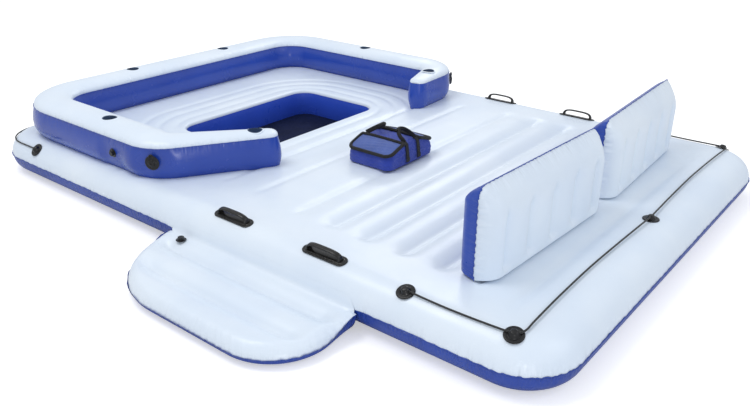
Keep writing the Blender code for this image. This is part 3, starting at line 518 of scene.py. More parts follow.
# Sweep a section of (across, up, away) points along a path, and map it by length and away
def swept(path, section, sideways=None):
    points, lay = [], []
    run = 0.0
    for i, spot in enumerate(path):
        if i:
            run += (spot - path[i - 1]).length
        ahead = (path[min(i + 1, len(path) - 1)] - path[max(i - 1, 0)]).normalized()
        if sideways:
            across = (sideways - ahead * sideways.dot(ahead)).normalized()
        else:
            across = ahead.cross(upward if abs(ahead.z) < 0.9 else Vector((1, 0, 0))).normalized()
        up = across.cross(ahead)
        for wide, high, away in section:
            points.append(tuple(spot + across * wide + up * high))
            lay.append((run, away))
    count = len(section)
    last = (len(path) - 1) * count
    faces = stripFaces(len(path), count) + [tuple(range(count)), tuple(range(last, last + count))]
    return points, faces, lay


# Hull
hull = {"length": 3.89, "width": 2.74, "top": 0.24, "seam": 0.11, "corner": 0.26, "shoulder": 0.13,
        "bilge": 0.11, "pucker": 0.0035, "topStep": 0.0135, "bottomStep": 0.03, "chamberDepth": 0.006,
        "chamberLines": (-1.10, -0.40, 0.06, 0.45, 0.66, 0.87, 1.08, 1.29, 1.50), "chamberWidth": 0.03}
deck = {"loungeStart": 0.40, "loungeEnd": 1.46, "loungeHalf": 1.08, "ribs": 5, "ribDepth": 0.032,
        "ribFade": 0.11, "startDepth": 0.010, "startWidth": 0.03, "centreLines": (-0.19, 0.06),
        "lineDepth": 0.007, "lineWidth": 0.020, "lineReach": 1.03, "lineFade": 0.12, "endCrease": 1.635,
        "endCreaseDepth": 0.014, "endCreaseWidth": 0.030, "endCreaseReach": 1.20, "endCreaseFade": 0.20,
        "sofaEnd": -0.02, "sofaFade": 0.25, "sofaReach": 1.16, "seatLines": (0.10, 0.21, 0.32),
        "seatDepth": 0.0055, "seatWidth": 0.019}
well = {"centre": -0.75, "halfX": 0.35, "halfY": 0.58, "corner": 0.120, "lip": 0.020, "border": 0.07,
        "floor": 0.052, "bulge": 0.007, "grooveCorner": 0.20, "footBorder": 0.03, "wallHeight": 0.17}
net = {"pitch": 0.0085, "wide": 0.0078, "thick": 0.0012, "clear": 0.006, "rise": 0.0045, "sag": 0.006,
       "border": 0.022, "borderRise": 0.0035, "borderThick": 0.004}


# Height of the inflated top sheet, where welded lines and ribs draw it down
def deckHeight(x, y):
    z = np.full_like(x, hull["top"])
    distance = roundedDistance(x - well["centre"], y, well["halfX"], well["halfY"], well["grooveCorner"])
    inSofa = ease((deck["sofaEnd"] - x) / deck["sofaFade"])
    inSofa = inSofa * ease((deck["sofaReach"] - np.abs(y)) / deck["lineFade"])
    for line in deck["seatLines"]:
        z -= deck["seatDepth"] * groove(distance - line, deck["seatWidth"]) * inSofa
    ends = ease((deck["lineReach"] - np.abs(y)) / deck["lineFade"])
    for line in deck["centreLines"]:
        z -= deck["lineDepth"] * groove(x - line, deck["lineWidth"]) * ends
    # The lounge's ribs; the first valley is shallow
    past = x - deck["loungeStart"]
    span = past / (deck["loungeEnd"] - deck["loungeStart"])
    rib = np.abs(np.sin(math.pi * np.clip(span, 0, 1) * deck["ribs"]))
    fade = ease((deck["loungeHalf"] - np.abs(y)) / deck["ribFade"])
    depth = np.where(span < 0.5 / deck["ribs"], deck["startDepth"], deck["ribDepth"])
    z -= np.where((span > 0) & (span < 1), depth * (1 - rib ** 0.75) * fade, 0.0)
    z -= deck["startDepth"] * groove(past, deck["startWidth"]) * (past <= 0) * fade
    crease = ease((deck["endCreaseReach"] - np.abs(y)) / deck["endCreaseFade"])
    z -= deck["endCreaseDepth"] * groove(x - deck["endCrease"], deck["endCreaseWidth"]) * crease
    # The sheet is never quite level
    return z - 0.0012 * np.sin(3.1 * x + 1.2) * np.sin(2.3 * y + 0.4)


# The rectangle inside the hull's rounded corners
def hullInner():
    return hull["length"] / 2 - hull["corner"], hull["width"] / 2 - hull["corner"]


# Way out over the shoulder at a place, and how far round the shoulder it lies, from 0 to 1
def shoulderAt(x, y):
    innerX, innerY = hullInner()
    awayX, awayY = x - max(-innerX, min(innerX, x)), y - max(-innerY, min(innerY, y))
    past = (math.hypot(awayX, awayY) - hull["corner"] + hull["shoulder"]) / hull["shoulder"]
    return awayX, awayY, min(max(past, 0.0), 0.999)


# Height of the hull's top sheet anywhere, round the shoulder too
def surfaceHeight(x, y):
    past = shoulderAt(x, y)[2]
    drop = (hull["top"] - hull["seam"]) * (1 - math.sqrt(1 - past * past))
    return float(deckHeight(np.array([x]), np.array([y]))[0]) - drop


# Rim rows of a hull sheet: a flat part, then a quarter round down or up to the seam
def rimRows(roundWidth, flatSteps, roundSteps):
    flatPart = hull["corner"] - roundWidth
    rows = [flatPart * k / flatSteps for k in range(1, flatSteps + 1)]
    return rows + [flatPart + roundWidth * math.sin(quarter * k / roundSteps)
                   for k in range(1, roundSteps + 1)]


# Ring of the foot well at a height, grown past its outline, with its corner radius grown too
def wellRing(edge, past, height, cornerPast=None):
    radius = well["corner"] + (past if cornerPast is None else cornerPast)
    spot = roundedTarget(edge, np.array([well["centre"], 0.0]), well["halfX"] + past, well["halfY"] + past,
                         radius)
    return np.column_stack([spot, np.full(len(spot), height)])


def makeHullTop():
    innerX, innerY = hullInner()
    holeX, holeY = well["halfX"] + well["border"], well["halfY"] + well["border"]
    left, right = well["centre"] - holeX, well["centre"] + holeX
    xs = spaced([-innerX, left, right, deck["loungeStart"], deck["loungeEnd"], innerX], hull["topStep"])
    ys = spaced([-innerY, -holeY, holeY, innerY], hull["topStep"])
    rows = rimRows(hull["shoulder"], 8, 14)
    plan, out, along, faces, _ = sheetGrid(xs, ys, rows, 64, (left, right, -holeY, holeY))
    past = np.clip((out - hull["corner"] + hull["shoulder"]) / hull["shoulder"], 0, 1)
    z = deckHeight(plan[:, 0], plan[:, 1]) - (hull["top"] - hull["seam"]) * (1 - dome(1 - past))
    away = seamDistance(hull["corner"], out, np.maximum(z - hull["seam"], 0))
    pull = puckers(along, away, 0.7, 0.052, hull["pucker"], 0.06)
    outward = outwardFrom(plan, innerX, innerY)[1]
    points = np.column_stack([plan - outward * pull[:, None], z])
    uvs = np.column_stack([along, away])

    # Rolled lip round the foot well
    loop = gridLoop(xs, ys, left, right, -holeY, holeY)
    edge, lip = plan[loop], well["lip"]
    target = wellRing(edge, lip, 0.0)[:, :2]
    rings = []
    for share in (0.2, 0.4, 0.6, 0.8, 1.0):
        spot = edge + (target - edge) * share
        rings.append(np.column_stack([spot, deckHeight(spot[:, 0], spot[:, 1])]))
    for k in range(1, 9):
        angle = quarter * k / 8
        rings.append(wellRing(edge, lip * (1 - math.sin(angle)), hull["top"] - lip * (1 - math.cos(angle))))
    first, ring = len(points), len(loop)
    points = np.concatenate([points] + rings)
    uvs = np.concatenate([uvs, np.tile([0.0, 0.5], (ring * len(rings), 1))])
    faces += bridgeFaces(loop, first) + stripFaces(len(rings), ring, first)
    makePiece("hull_top_sheet", points, faces, "white", "island",
              ("deck_top_sofa_end", "deck_top_seat_front", "deck_top_seat_rear", "deck_top_centre",
               "deck_top_side_front", "deck_top_side_rear", "deck_top_lounge_end", "lounge_mattress_top"),
               uvs)
    makeWellWall(edge, target)


# Blue wall of the foot well, swollen between the lip and the net; its lighter blue is painted light against
# the shade in the well
def makeWellWall(edge, lipLine):
    levels, ring = 22, len(edge)
    top = hull["top"] - well["lip"]
    along = np.concatenate([[0], np.cumsum(np.linalg.norm(np.diff(lipLine, axis=0), axis=1))])
    rings, lay = [], []
    for k in range(levels + 1):
        share = k / levels
        swell = well["bulge"] * math.sin(math.pi * share) ** 0.8
        rings.append(wellRing(edge, -swell, top - (top - well["floor"]) * share, -swell * 0.5))
        lay.append(np.column_stack([along, np.full(ring, min(share, 1 - share) * well["wallHeight"])]))
    for inset in (0.006, 0.018):
        rings.append(wellRing(edge, -inset, well["floor"], 0.0))
        lay.append(np.column_stack([along, np.zeros(ring)]))
    makePiece("well_wall_sheet", np.concatenate(rings), stripFaces(len(rings), ring), "blueWellPaintedLight", "island",
              ("well_wall",), np.concatenate(lay))


def makeHullBottom():
    innerX, innerY = hullInner()
    holeX, holeY = well["halfX"] + well["footBorder"], well["halfY"] + well["footBorder"]
    left, right = well["centre"] - holeX, well["centre"] + holeX
    xs = spaced([-innerX, left, right, innerX], hull["bottomStep"])
    ys = spaced([-innerY, -holeY, holeY, innerY], hull["bottomStep"])
    rows = rimRows(hull["bilge"], 4, 12)
    plan, out, along, faces, count = sheetGrid(xs, ys, rows, 48, (left, right, -holeY, holeY))
    past = np.clip((out - hull["corner"] + hull["bilge"]) / hull["bilge"], 0, 1)
    z = hull["seam"] * (1 - dome(1 - past))
    away = seamDistance(hull["corner"], out, hull["seam"] - z)
    pull = puckers(along, away, 0.9, 0.055, hull["pucker"] * 0.8, 0.05)
    outward = outwardFrom(plan, innerX, innerY)[1]
    # Welded lines of the chambers draw the underside up
    for line in hull["chamberLines"]:
        z = z + np.where(out == 0, hull["chamberDepth"] * groove(plan[:, 0] - line, hull["chamberWidth"]),
                         0.0)
    points = np.column_stack([plan - outward * pull[:, None], z])
    uvs = np.column_stack([along, away])

    # The weld stands out past the seam as a narrow wavy flange, except at the platform
    last = len(points) - count
    rim, ways = points[last:], outward[last:]
    free = 1.0 - (rim[:, 1] < 0) * (rim[:, 0] > platform["start"]) * (rim[:, 0] < platform["finish"])
    wavy = waves(along[last:], 0.7, 0.052)
    flange = rim.copy()
    flange[:, :2] += ways * ((0.0035 + 0.0020 * wavy) * free)[:, None]
    flange[:, 2] += (0.0006 + 0.0045 * wavy) * free
    tip = flange.copy()
    tip[:, 2] += 0.0012 * free
    back = rim.copy()
    back[:, :2] += ways * 0.0006
    back[:, 2] += (0.0018 + 0.0060 * wavy) * free
    faces += stripFaces(4, count, last)
    points = np.concatenate([points, flange, tip, back])
    uvs = np.concatenate([uvs] + [np.column_stack([along[last:], np.zeros(count)])] * 3)

    # Rounded foot of the well
    loop = gridLoop(xs, ys, left, right, -holeY, holeY)
    edge, first, ring = plan[loop], len(points), len(loop)
    foot = ((0.012, 0.002), (0.003, 0.012), (0.0008, 0.030), (0.0008, well["floor"]))
    points = np.concatenate([points] + [wellRing(edge, reach, height) for reach, height in foot])
    uvs = np.concatenate([uvs, np.tile([0.0, 0.5], (ring * len(foot), 1))])
    faces += bridgeFaces(loop, first) + stripFaces(len(foot), ring, first)
    makePiece("hull_bottom_sheet", points, faces, "blue", "island",
              ("hull_bottom_sofa_end", "hull_bottom_seat_front", "hull_bottom_seat_rear", "hull_bottom_main"),
              uvs)


# Woven floor of the foot well: flat strands both ways, sagging a little, and a welded border
def makeNet():
    points, faces, lay = [], [], []
    pitch, wide, thick = net["pitch"], net["wide"], net["thick"]
    halfX, halfY, bend = (well[key] - net["clear"] for key in ("halfX", "halfY", "corner"))
    steps = 8
    for axis, half, other, lift in ((0, halfX, halfY, 0.0), (1, halfY, halfX, thick)):
        for k in range(int(2 * other / pitch)):
            middle = -other + pitch * (k + 0.5)
            start = len(points)
            past = max(abs(middle) - (other - bend), 0.0)
            reach = half - bend + math.sqrt(max(bend * bend - past * past, 0.0))
            for step in range(steps + 1):
                place = -reach + 2 * reach * step / steps
                for side, up in ((-1, 0), (1, 0), (1, 1), (-1, 1)):
                    cross = middle + side * wide / 2
                    x, y = (place, cross) if axis == 0 else (cross, place)
                    sag = net["sag"] * (1 - (x / halfX) ** 2) * (1 - (y / halfY) ** 2)
                    points.append((well["centre"] + x, y,
                                   well["floor"] + net["rise"] - sag + lift + up * thick))
                    lay.append((place, cross))
            faces += stripFaces(steps + 1, 4, start)
    start, perCorner = len(points), 12
    corners = ((1, 1), (-1, 1), (-1, -1), (1, -1))
    for inset, up in ((0.0, 0), (0.0, 1), (net["border"], 1), (net["border"], 0), (0.0, 0)):
        for number, (sx, sy) in enumerate(corners):
            for k in range(perCorner):
                angle = quarter * (number + k / (perCorner - 1))
                x = sx * (halfX - bend) + (bend - inset) * math.cos(angle)
                y = sy * (halfY - bend) + (bend - inset) * math.sin(angle)
                height = well["floor"] + net["borderRise"] + up * net["borderThick"]
                points.append((well["centre"] + x, y, height))
                lay.append((x, y))
    faces += stripFaces(5, len(corners) * perCorner, start)
    makePiece("well_net_weave", points, faces, "net", "island", ("well_net",), lay, 30)


# Bolster
bolster = {"endX": -1.79, "sideY": 1.145, "halfWidth": 0.12, "topWidth": 0.114, "seam": 0.415, "crown": 0.055,
           "corner": 0.30, "armCorner": 0.16, "frontArm": (-0.515, 55.0, 0.574),
           "rearArm": (-0.243, 80.0, 0.366), "rootShare": 0.80, "tipShare": 0.54, "sunk": 0.004,
           "swell": 0.015, "pucker": 0.0034, "puckerReach": 0.03, "puckerPitch": 0.046,
           "valve": (-0.78, -1.2642, 0.3362), "fittingClear": 0.05, "fittingFade": 0.10, "step": 0.014,
           "otherSide": 0.37}
# Place, crown height, heading of the bolster and its width share at each cup
cups = {"places": ((-0.2187, -0.7218, 0.4479, 55.0, 0.56), (-0.96, -1.145, 0.47, 0.0, 1.0),
                   (-1.79, -0.41, 0.47, 90.0, 1.0), (-1.79, 0.41, 0.47, 90.0, 1.0),
                   (-0.96, 1.145, 0.47, 0.0, 1.0), (-0.2049, 0.9287, 0.4568, -80.0, 0.70)),
        "radius": 0.041, "wall": 0.003, "rim": 0.008, "depth": 0.075, "edge": 0.0022}


# A bend of the centre line: places and headings from the start angle, turning by the whole
def bendLine(centre, radius, angles):
    return [(centre + Vector((math.cos(angle), math.sin(angle))) * radius,
             Vector((math.sin(angle), -math.cos(angle)))) for angle in angles]


# Half of the centre line, as seen at the front: an arm from its end, its bend, the side, the sofa's corner
def bolsterHalf(armX, armAngle, armLength):
    step, root, tip = bolster["step"], bolster["rootShare"], bolster["tipShare"]
    bend = math.radians(armAngle)
    lead = bolster["armCorner"] * math.tan(bend / 2)
    corner = Vector((armX, -bolster["sideY"]))
    along = Vector((math.cos(bend), math.sin(bend)))
    run = armLength - lead
    count = max(2, int(run / step))
    points = [(corner + along * (armLength - run * i / count), -along, tip + (root - tip) * i / count)
              for i in range(count)]
    centre = Vector((armX - lead, -bolster["sideY"] + bolster["armCorner"]))
    count = max(6, int(bolster["armCorner"] * bend / step * 1.6))
    turns = bendLine(centre, bolster["armCorner"], [-quarter + bend * (1 - i / count) for i in range(count)])
    points += [(point, heading, root + (1 - root) * i / count) for i, (point, heading) in enumerate(turns)]
    startX, endX = armX - lead, bolster["endX"] + bolster["corner"]
    count = int((startX - endX) / step)
    points += [(Vector((startX + (endX - startX) * i / count, -bolster["sideY"])), Vector((-1, 0)), 1.0)
               for i in range(count)]
    centre = Vector((endX, -bolster["sideY"] + bolster["corner"]))
    turns = bendLine(centre, bolster["corner"], [-quarter - quarter * i / 40 for i in range(40)])
    return points + [(point, heading, 1.0) for point, heading in turns]


# Centre line from the front arm's end to the rear arm's end, with headings and width shares
def bolsterPath():
    low = -bolster["sideY"] + bolster["corner"]
    count = int(-2 * low / bolster["step"])
    middle = [(Vector((bolster["endX"], low - 2 * low * i / count)), Vector((0, 1)), 1.0)
              for i in range(count)]
    rear = [(Vector((point.x, -point.y)), Vector((-heading.x, heading.y)), share)
            for point, heading, share in reversed(bolsterHalf(*bolster["rearArm"]))]
    return bolsterHalf(*bolster["frontArm"]) + middle + rear


# Places and normals of the four discs, outside the bolster's bends
def bolsterSpots():
    spots = []
    for side, (armX, armAngle, _) in ((-1, bolster["frontArm"]), (1, bolster["rearArm"])):
        corner = Vector((bolster["endX"] + bolster["corner"], side * (bolster["sideY"] - bolster["corner"])))
        away = Vector((-1, side)).normalized()
        spots.append((corner + away * (bolster["corner"] + bolster["halfWidth"]), away))
        bend = math.radians(armAngle) / 2
        away = Vector((math.sin(bend), side * math.cos(bend)))
        lead = bolster["armCorner"] * math.tan(bend)
        centre = Vector((armX - lead, side * (bolster["sideY"] - bolster["armCorner"])))
        spots.append((centre + away * (bolster["armCorner"] + bolster["halfWidth"]), away))
    return spots


# Sweep (offset, height, distance from seam) points; endings are (reach, width, crown) shares past each end
def sweepBolster(section, endings):
    foot, seam, most = hull["top"] - bolster["sunk"], bolster["seam"], bolster["swell"]
    fittings = [place for place, away in bolsterSpots()] + [Vector(bolster["valve"][:2])]
    path, tip = bolsterPath(), bolster["tipShare"]
    (first, firstHeading, _), (last, lastHeading, _) = path[0], path[-1]
    stations = [(first - firstHeading * reach, firstHeading, wide * tip, crown * tip)
                for reach, wide, crown in endings]
    stations += [(point, heading, share, share) for point, heading, share in path]
    stations += [(last + lastHeading * reach, lastHeading, wide * tip, crown * tip)
                 for reach, wide, crown in reversed(endings)]
    ends, count = len(endings), len(stations)
    rows, lay = [], []
    run = 0.0
    for k, (point, heading, wide, crown) in enumerate(stations):
        if k:
            run += (point - stations[k - 1][0]).length
        side = Vector((heading.y, -heading.x))
        past = min(max(ends - k, k - (count - 1 - ends), 0) / ends, 1.0)
        for offset, height, away in section:
            # Puckers beside the seam
            place = run + (offset > 0) * bolster["otherSide"]
            pinch = bolster["pucker"] * float(waves(np.array([place]), 1.9, bolster["puckerPitch"])[0])
            near = max(0.0, 1 - away / bolster["puckerReach"]) * min(1.0, away / 0.003 + 0.2)
            spot = point + side * math.copysign((abs(offset) - pinch * near) * wide, offset)
            if height < seam:
                # The wall swells half way up, except beside a fitting
                swell = most * math.sin(math.pi * max((height - foot) / (seam - foot), 0.0) ** 0.75)
                gap = min((spot - fitting).length for fitting in fittings) - bolster["fittingClear"]
                free = float(ease(np.array(gap / bolster["fittingFade"])))
                spot += side * math.copysign(swell * free * wide, offset)
                spot += (heading if k > ends else -heading) * swell * past
            z = seam + (height - seam) * crown if height > seam else height
            if height < hull["top"] + 0.006:
                z = min(z, surfaceHeight(spot.x, spot.y) - 0.003)
            rows.append((spot.x, spot.y, z))
            lay.append((place, away))
    return rows, lay, count


def makeBolster():
    foot, seam = hull["top"] - bolster["sunk"], bolster["seam"]
    wide, top = bolster["halfWidth"], bolster["topWidth"]
    profile = smoothLine([(0.068, foot), (0.092, foot + 0.008), (0.112, foot + 0.046),
                          (wide - 0.001, foot + 0.100), (wide - 0.002, foot + 0.148),
                          (top + 0.0015, seam - 0.003), (top + 0.001, seam)], 5)
    wall = [(float(x), float(z), seam - float(z)) for x, z in profile]
    wall += [(top + 0.0045, seam + 0.0004, 0.0), (top + 0.0045, seam + 0.0016, 0.0),
             (top - 0.002, seam + 0.0022, 0.0)]
    body = wall + [(-x, z, away) for x, z, away in reversed(wall)]
    # Shares of the length, width and crown height as an arm rounds off
    endings = [(0.066, 0.30, 0.30), (0.0640, 0.44, 0.45), (0.0590, 0.60, 0.62), (0.0505, 0.75, 0.78),
               (0.0390, 0.87, 0.90), (0.0250, 0.95, 0.97), (0.0110, 0.99, 1.0)]
    points, lay, rows = sweepBolster(body, endings)
    count = len(body)
    faces = stripFaces(rows, count, 0, False)
    # End faces: pairs of wall points across the arm
    for start in (0, (rows - 1) * count):
        for i in range(len(wall) - 1):
            faces.append((start + i, start + i + 1, start + count - 2 - i, start + count - 1 - i))
    makePiece("bolster_wall_sheet", points, faces, "blueWall", "island", ("bolster_body",), lay)

    steps = 30
    crown = []
    for i in range(steps + 1):
        angle = math.pi * i / steps
        offset = top * math.cos(angle)
        height = 0.0020 + bolster["crown"] * math.sin(angle) ** 0.85
        crown.append((offset, seam + height, top - abs(offset) + height * 0.7))
    points, lay, rows = sweepBolster(crown, endings)
    count = len(crown)
    faces = stripFaces(rows, count, 0, False)
    faces += [tuple(range(count)), tuple(range((rows - 1) * count, rows * count))]
    points, faces = cutCupHoles(np.array(points), faces)
    makePiece("bolster_crown_sheet", points, faces, "white", "island", ("bolster_top",), lay)


# Holes under the cup holders' rims: their faces go, and the points left inside move out to the edge
def cutCupHoles(points, faces):
    hole = cups["radius"] + 0.0035
    high = points[:, 2] > bolster["seam"] + 0.008
    for x, y, *_ in cups["places"]:
        away = np.hypot(points[:, 0] - x, points[:, 1] - y)
        inside = high & (away < hole)
        faces = [face for face in faces if not all(inside[v] for v in face)]
        used = set(v for face in faces for v in face)
        for v in np.nonzero(inside)[0]:
            if v in used:
                points[v, :2] = (x, y) + (points[v, :2] - (x, y)) * hole / max(away[v], 1e-6)
    return points, faces


def makeCups():
    r, wall, rim, depth = cups["radius"], cups["wall"], cups["rim"], cups["depth"]
    profile = softened([(0, -depth), (r - wall, -depth), (r, -depth + wall), (r, -0.001), (r + rim, -0.001),
                        (r + rim + 0.001, 0.0006), (r + rim - 0.002, 0.0028), (r, 0.0034),
                        (r - wall, 0.0015), (r - wall, 3 * wall - depth), (r - 3 * wall, wall - depth),
                        (0.012, wall - depth), (0.010, wall + 0.001 - depth), (0, wall + 0.001 - depth)],
                        cups["edge"])
    turned, faces = turnedPoints(profile, 56)
    for number, (x, y, top, heading, share) in enumerate(cups["places"], 1):
        angle = math.radians(heading)
        placed = []
        for px, py, pz in turned:
            # The flange is welded on, so it bends down with the crown
            across = abs(-math.sin(angle) * px + math.cos(angle) * py) / (bolster["topWidth"] * share)
            bend = bolster["crown"] * share * (1 - max(1 - across * across, 0.0) ** 0.425)
            reach = min(max((math.hypot(px, py) - r + wall) / wall, 0.0), 1.0)
            placed.append((x + px, y + py, top + pz - bend * reach * (pz > -0.01)))
        made = makePiece(f"cup_{number}", placed, faces, "cup", "island",
                         (f"cup_holder_{number}",))
        # The flange is of the crown's white sheet
        made.data.materials.append(looks["whitePlain"])
        for face in made.data.polygons:
            if math.hypot(face.center.x - x, face.center.y - y) > r + 0.0015:
                face.material_index = 1


# Backrests
backrest = {"x": 1.44, "inner": 0.055, "width": 1.0, "height": 0.42, "depth": 0.175, "corner": 0.055,
            "foot": 0.2403, "step": 0.009, "toe": 0.045, "pleats": 4, "pleatSpan": 0.390, "pleatDepth": 0.038,
            "pleatTop": 0.120, "pleatFade": 0.075, "footSquare": 0.80, "footRound": 0.018, "edgeRound": 0.014,
            "pucker": 0.0030, "puckerPitch": 0.044, "scallop": 0.0028, "scallopPitch": 0.030}
# Which way each panel faces, its finish, and how far down and in it takes to reach its full thickness
panels = {"face": {"way": -1, "material": "blue", "slot": "blue_pvc", "wedge": 0.085, "power": 1.6,
                   "endRound": 0.050},
          "back": {"way": 1, "material": "white", "slot": "white_pvc", "wedge": 0.16, "power": 2.1,
                   "endRound": 0.085}}


# Thickness share of a panel: a wedge with a thin edge at the top, and round ends and foot
def panelShape(panel, u, v, inside):
    halfY, halfZ = backrest["width"] / 2, backrest["height"] / 2
    top, foot, end = halfZ - v, v + halfZ, halfY - np.abs(u)
    wedge = 1 - (1 - np.clip(top / panel["wedge"], 0, 1)) ** panel["power"]
    wedge = wedge * (1 - 0.05 * np.clip((0.10 - foot) / 0.10, 0, 1) ** 2)
    # The two sheets meet all the way round the seam
    rounding = dome(foot / backrest["footRound"]) * dome(inside / backrest["edgeRound"])
    return wedge * dome(end / panel["endRound"]) * rounding


# Depth of the pleats: cusps side by side over the lower part of a panel
def pleatDepth(u, v):
    span = backrest["pleatSpan"]
    saw = np.clip((u + span) / (2 * span), 0, 1) * backrest["pleats"] % 1.0
    beyond = 1 - dome((np.abs(u) - span) / 0.05)
    foot = v + backrest["height"] / 2
    reach = ease((backrest["pleatTop"] - v) / backrest["pleatFade"]) * ease((foot - 0.018) / 0.045)
    return backrest["pleatDepth"] * (1 - np.sqrt(np.maximum(1 - (2 * saw - 1) ** 2, 0))) * beyond * reach


# Flange of the seam, on the face panel: out past the rim, over its edge and back under the other sheet
def seamFlange(rim, outward, along, seed):
    wavy = waves(along, seed, backrest["puckerPitch"])
    flange = rim.copy()
    flange[:, 1:] += outward * (0.0026 + 0.0014 * wavy)[:, None]
    flange[:, 0] += 0.0004
    tip = flange.copy()
    tip[:, 0] += 0.0012
    back = rim.copy()
    back[:, 1:] -= outward * 0.0015
    back[:, 0] += 0.0012
    rings = np.concatenate([flange, tip, back])
    rings[:, 2] = np.maximum(rings[:, 2], backrest["foot"] - 0.001)
    return rings


def makePanel(label, side, suffix, panel):
    corner, way = backrest["corner"], panel["way"]
    halfY, halfZ = backrest["width"] / 2, backrest["height"] / 2
    innerY, innerZ = halfY - corner, halfZ - corner
    us, vs = (spaced([-inner, inner], backrest["step"]) for inner in (innerY, innerZ))
    rows = [corner * math.sin(quarter * k / 22) for k in range(1, 23)]
    plan, out, along, faces, count = sheetGrid(us, vs, rows, 30)
    core, outward = outwardFrom(plan, innerY, innerZ)
    # Nearly square corners at the foot, round ones at the top
    power = np.where(plan[:, 1] < 0, backrest["footSquare"], 0.0)
    stretch = np.where(out > 0, np.maximum(np.abs(outward).max(axis=1), 0.1) ** -power, 1.0)
    u, v = (core + outward * (out * stretch)[:, None]).T
    inside = np.where(out > 0, (corner - out) * stretch, corner)
    height = np.maximum(backrest["depth"] / 2 * panelShape(panel, u, v, inside) - pleatDepth(u, v), 0.0)
    away = seamDistance(corner, out, height, 0.8)
    pull = puckers(along, away, 2.2 + side, backrest["puckerPitch"], backrest["pucker"], 0.05, 0.3)
    u, v = u - outward[:, 0] * pull, v - outward[:, 1] * pull
    # The seam is scalloped, and the two backrests stand in a shallow V
    nearSeam = ease(1 - (corner - out) / 0.012) * (out > 0)
    scallop = backrest["scallop"] * ripple(along, 3.1 + side, backrest["scallopPitch"]) * nearSeam
    x = backrest["x"] + scallop - side * backrest["toe"] * u + way * (0.0004 + height)
    points = np.column_stack([x, side * (backrest["inner"] + halfY) + u, backrest["foot"] + halfZ + v])
    uvs = np.column_stack([along, away])
    if suffix == "face":
        last = len(points) - count
        points = np.concatenate([points, seamFlange(points[last:], outward[last:], along[last:], 2.2 + side)])
        uvs = np.concatenate([uvs] + [np.column_stack([along[last:], np.zeros(count)])] * 3)
        faces += stripFaces(4, count, last)
    piece = makePiece(f"backrest_{label}_{suffix}_sheet", points, faces, panel["material"], "island",
                      (f"backrest_{label}_{suffix}",), uvs)


def makeBackrests():
    for label, side in (("front", -1), ("rear", 1)):
        for suffix, panel in panels.items():
            makePanel(label, side, suffix, panel)


# Boarding platform
platform = {"start": -0.17, "finish": 1.06, "inner": -1.3753, "outer": -1.8453, "thickness": 0.104,
            "seam": 0.040, "rootSeam": 0.094, "rootReach": 0.20, "sofaCorner": 0.44, "loungeCorner": 0.28,
            "edge": 0.060, "bottomEdge": 0.07, "valleys": (-1.478, -1.662), "valleyDepth": 0.036,
            "valleyWidth": 0.042, "step": 0.012, "middleX": 0.43, "middleY": -1.60, "pucker": 0.0045,
            "puckerPitch": 0.040}
weld = {"y": -1.3735, "z": 0.1100, "inset": 0.012, "spots": 110, "endFade": 0.06}


# Distance in from the platform's free edges, which have two large outer corners
def platformDistance(x, y):
    start, finish, outer = (platform[key] for key in ("start", "finish", "outer"))
    best = np.minimum(np.minimum(x - start, finish - x), y - outer)
    for edge, sign, radius in ((start, 1, platform["sofaCorner"]), (finish, -1, platform["loungeCorner"])):
        dx, dy = (edge + sign * radius - x) * sign, outer + radius - y
        best = np.where((dx > 0) & (dy > 0), radius - np.hypot(dx, dy), best)
    return np.maximum(best, 0.0)


# Columns of points from the hull to the free edge, closer together at both ends
def platformPlan(cornerColumns, steps):
    start, finish, outer, inner = (platform[key] for key in ("start", "finish", "outer", "inner"))
    sofa, lounge = platform["sofaCorner"], platform["loungeCorner"]
    xs = [start + sofa * (1 - math.cos(quarter * k / cornerColumns)) for k in range(cornerColumns)]
    straight = finish - lounge - start - sofa
    count = int(straight / platform["step"])
    xs += [start + sofa + straight * k / count for k in range(count)]
    xs += [finish - lounge * (1 - math.sin(quarter * k / cornerColumns)) for k in range(cornerColumns + 1)]
    xs = np.array(xs)
    sofaPast, loungePast = np.maximum(start + sofa - xs, 0), np.maximum(xs - finish + lounge, 0)
    far = outer + sofa - np.sqrt(np.maximum(sofa ** 2 - sofaPast ** 2, 0))
    far += lounge - np.sqrt(np.maximum(lounge ** 2 - loungePast ** 2, 0))
    even = np.arange(steps + 1) / steps
    shares = (1 - np.cos(math.pi * even)) / 2 * 0.45 + even * 0.55
    x = np.repeat(xs, steps + 1)
    y = (inner + (far - inner)[:, None] * shares[None, :]).ravel()
    return x, y, stripFaces(len(xs), steps + 1, 0, False), len(xs)


# The platform's seam climbs to the hull's beside the hinge
def platformSeam(y):
    near = ease(1 - (platform["inner"] - y) / platform["rootReach"])
    return platform["seam"] + (platform["rootSeam"] - platform["seam"]) * near


def platformTop(x, y):
    distance = platformDistance(x, y)
    low = platformSeam(y)
    z = low + (platform["thickness"] - low) * dome(distance / platform["edge"])
    reach = ease((distance - 0.010) / 0.11)
    for line in platform["valleys"]:
        z = z - platform["valleyDepth"] * np.exp(-(np.abs(y - line) / platform["valleyWidth"]) ** 1.5) * reach
    return z, distance


# Length along the platform's edge, by its bearing from the middle of the hinge
def platformRun(x, y):
    return np.arctan2(y - platform["inner"], x - platform["middleX"]) * 0.6


def makePlatformTop():
    x, y, faces, _ = platformPlan(34, 64)
    z, distance = platformTop(x, y)
    run = platformRun(x, y)
    pull = puckers(run, distance, 0.3, platform["puckerPitch"], platform["pucker"], 0.05, 0.0, 0.006)
    uvs = np.column_stack([run, distance * 0.8 + (z - platform["seam"]) * 0.5])
    makePiece("platform_top_sheet", np.column_stack([x, y, z - pull]), faces, "white", "boarding_platform",
              ("platform_top",), uvs)


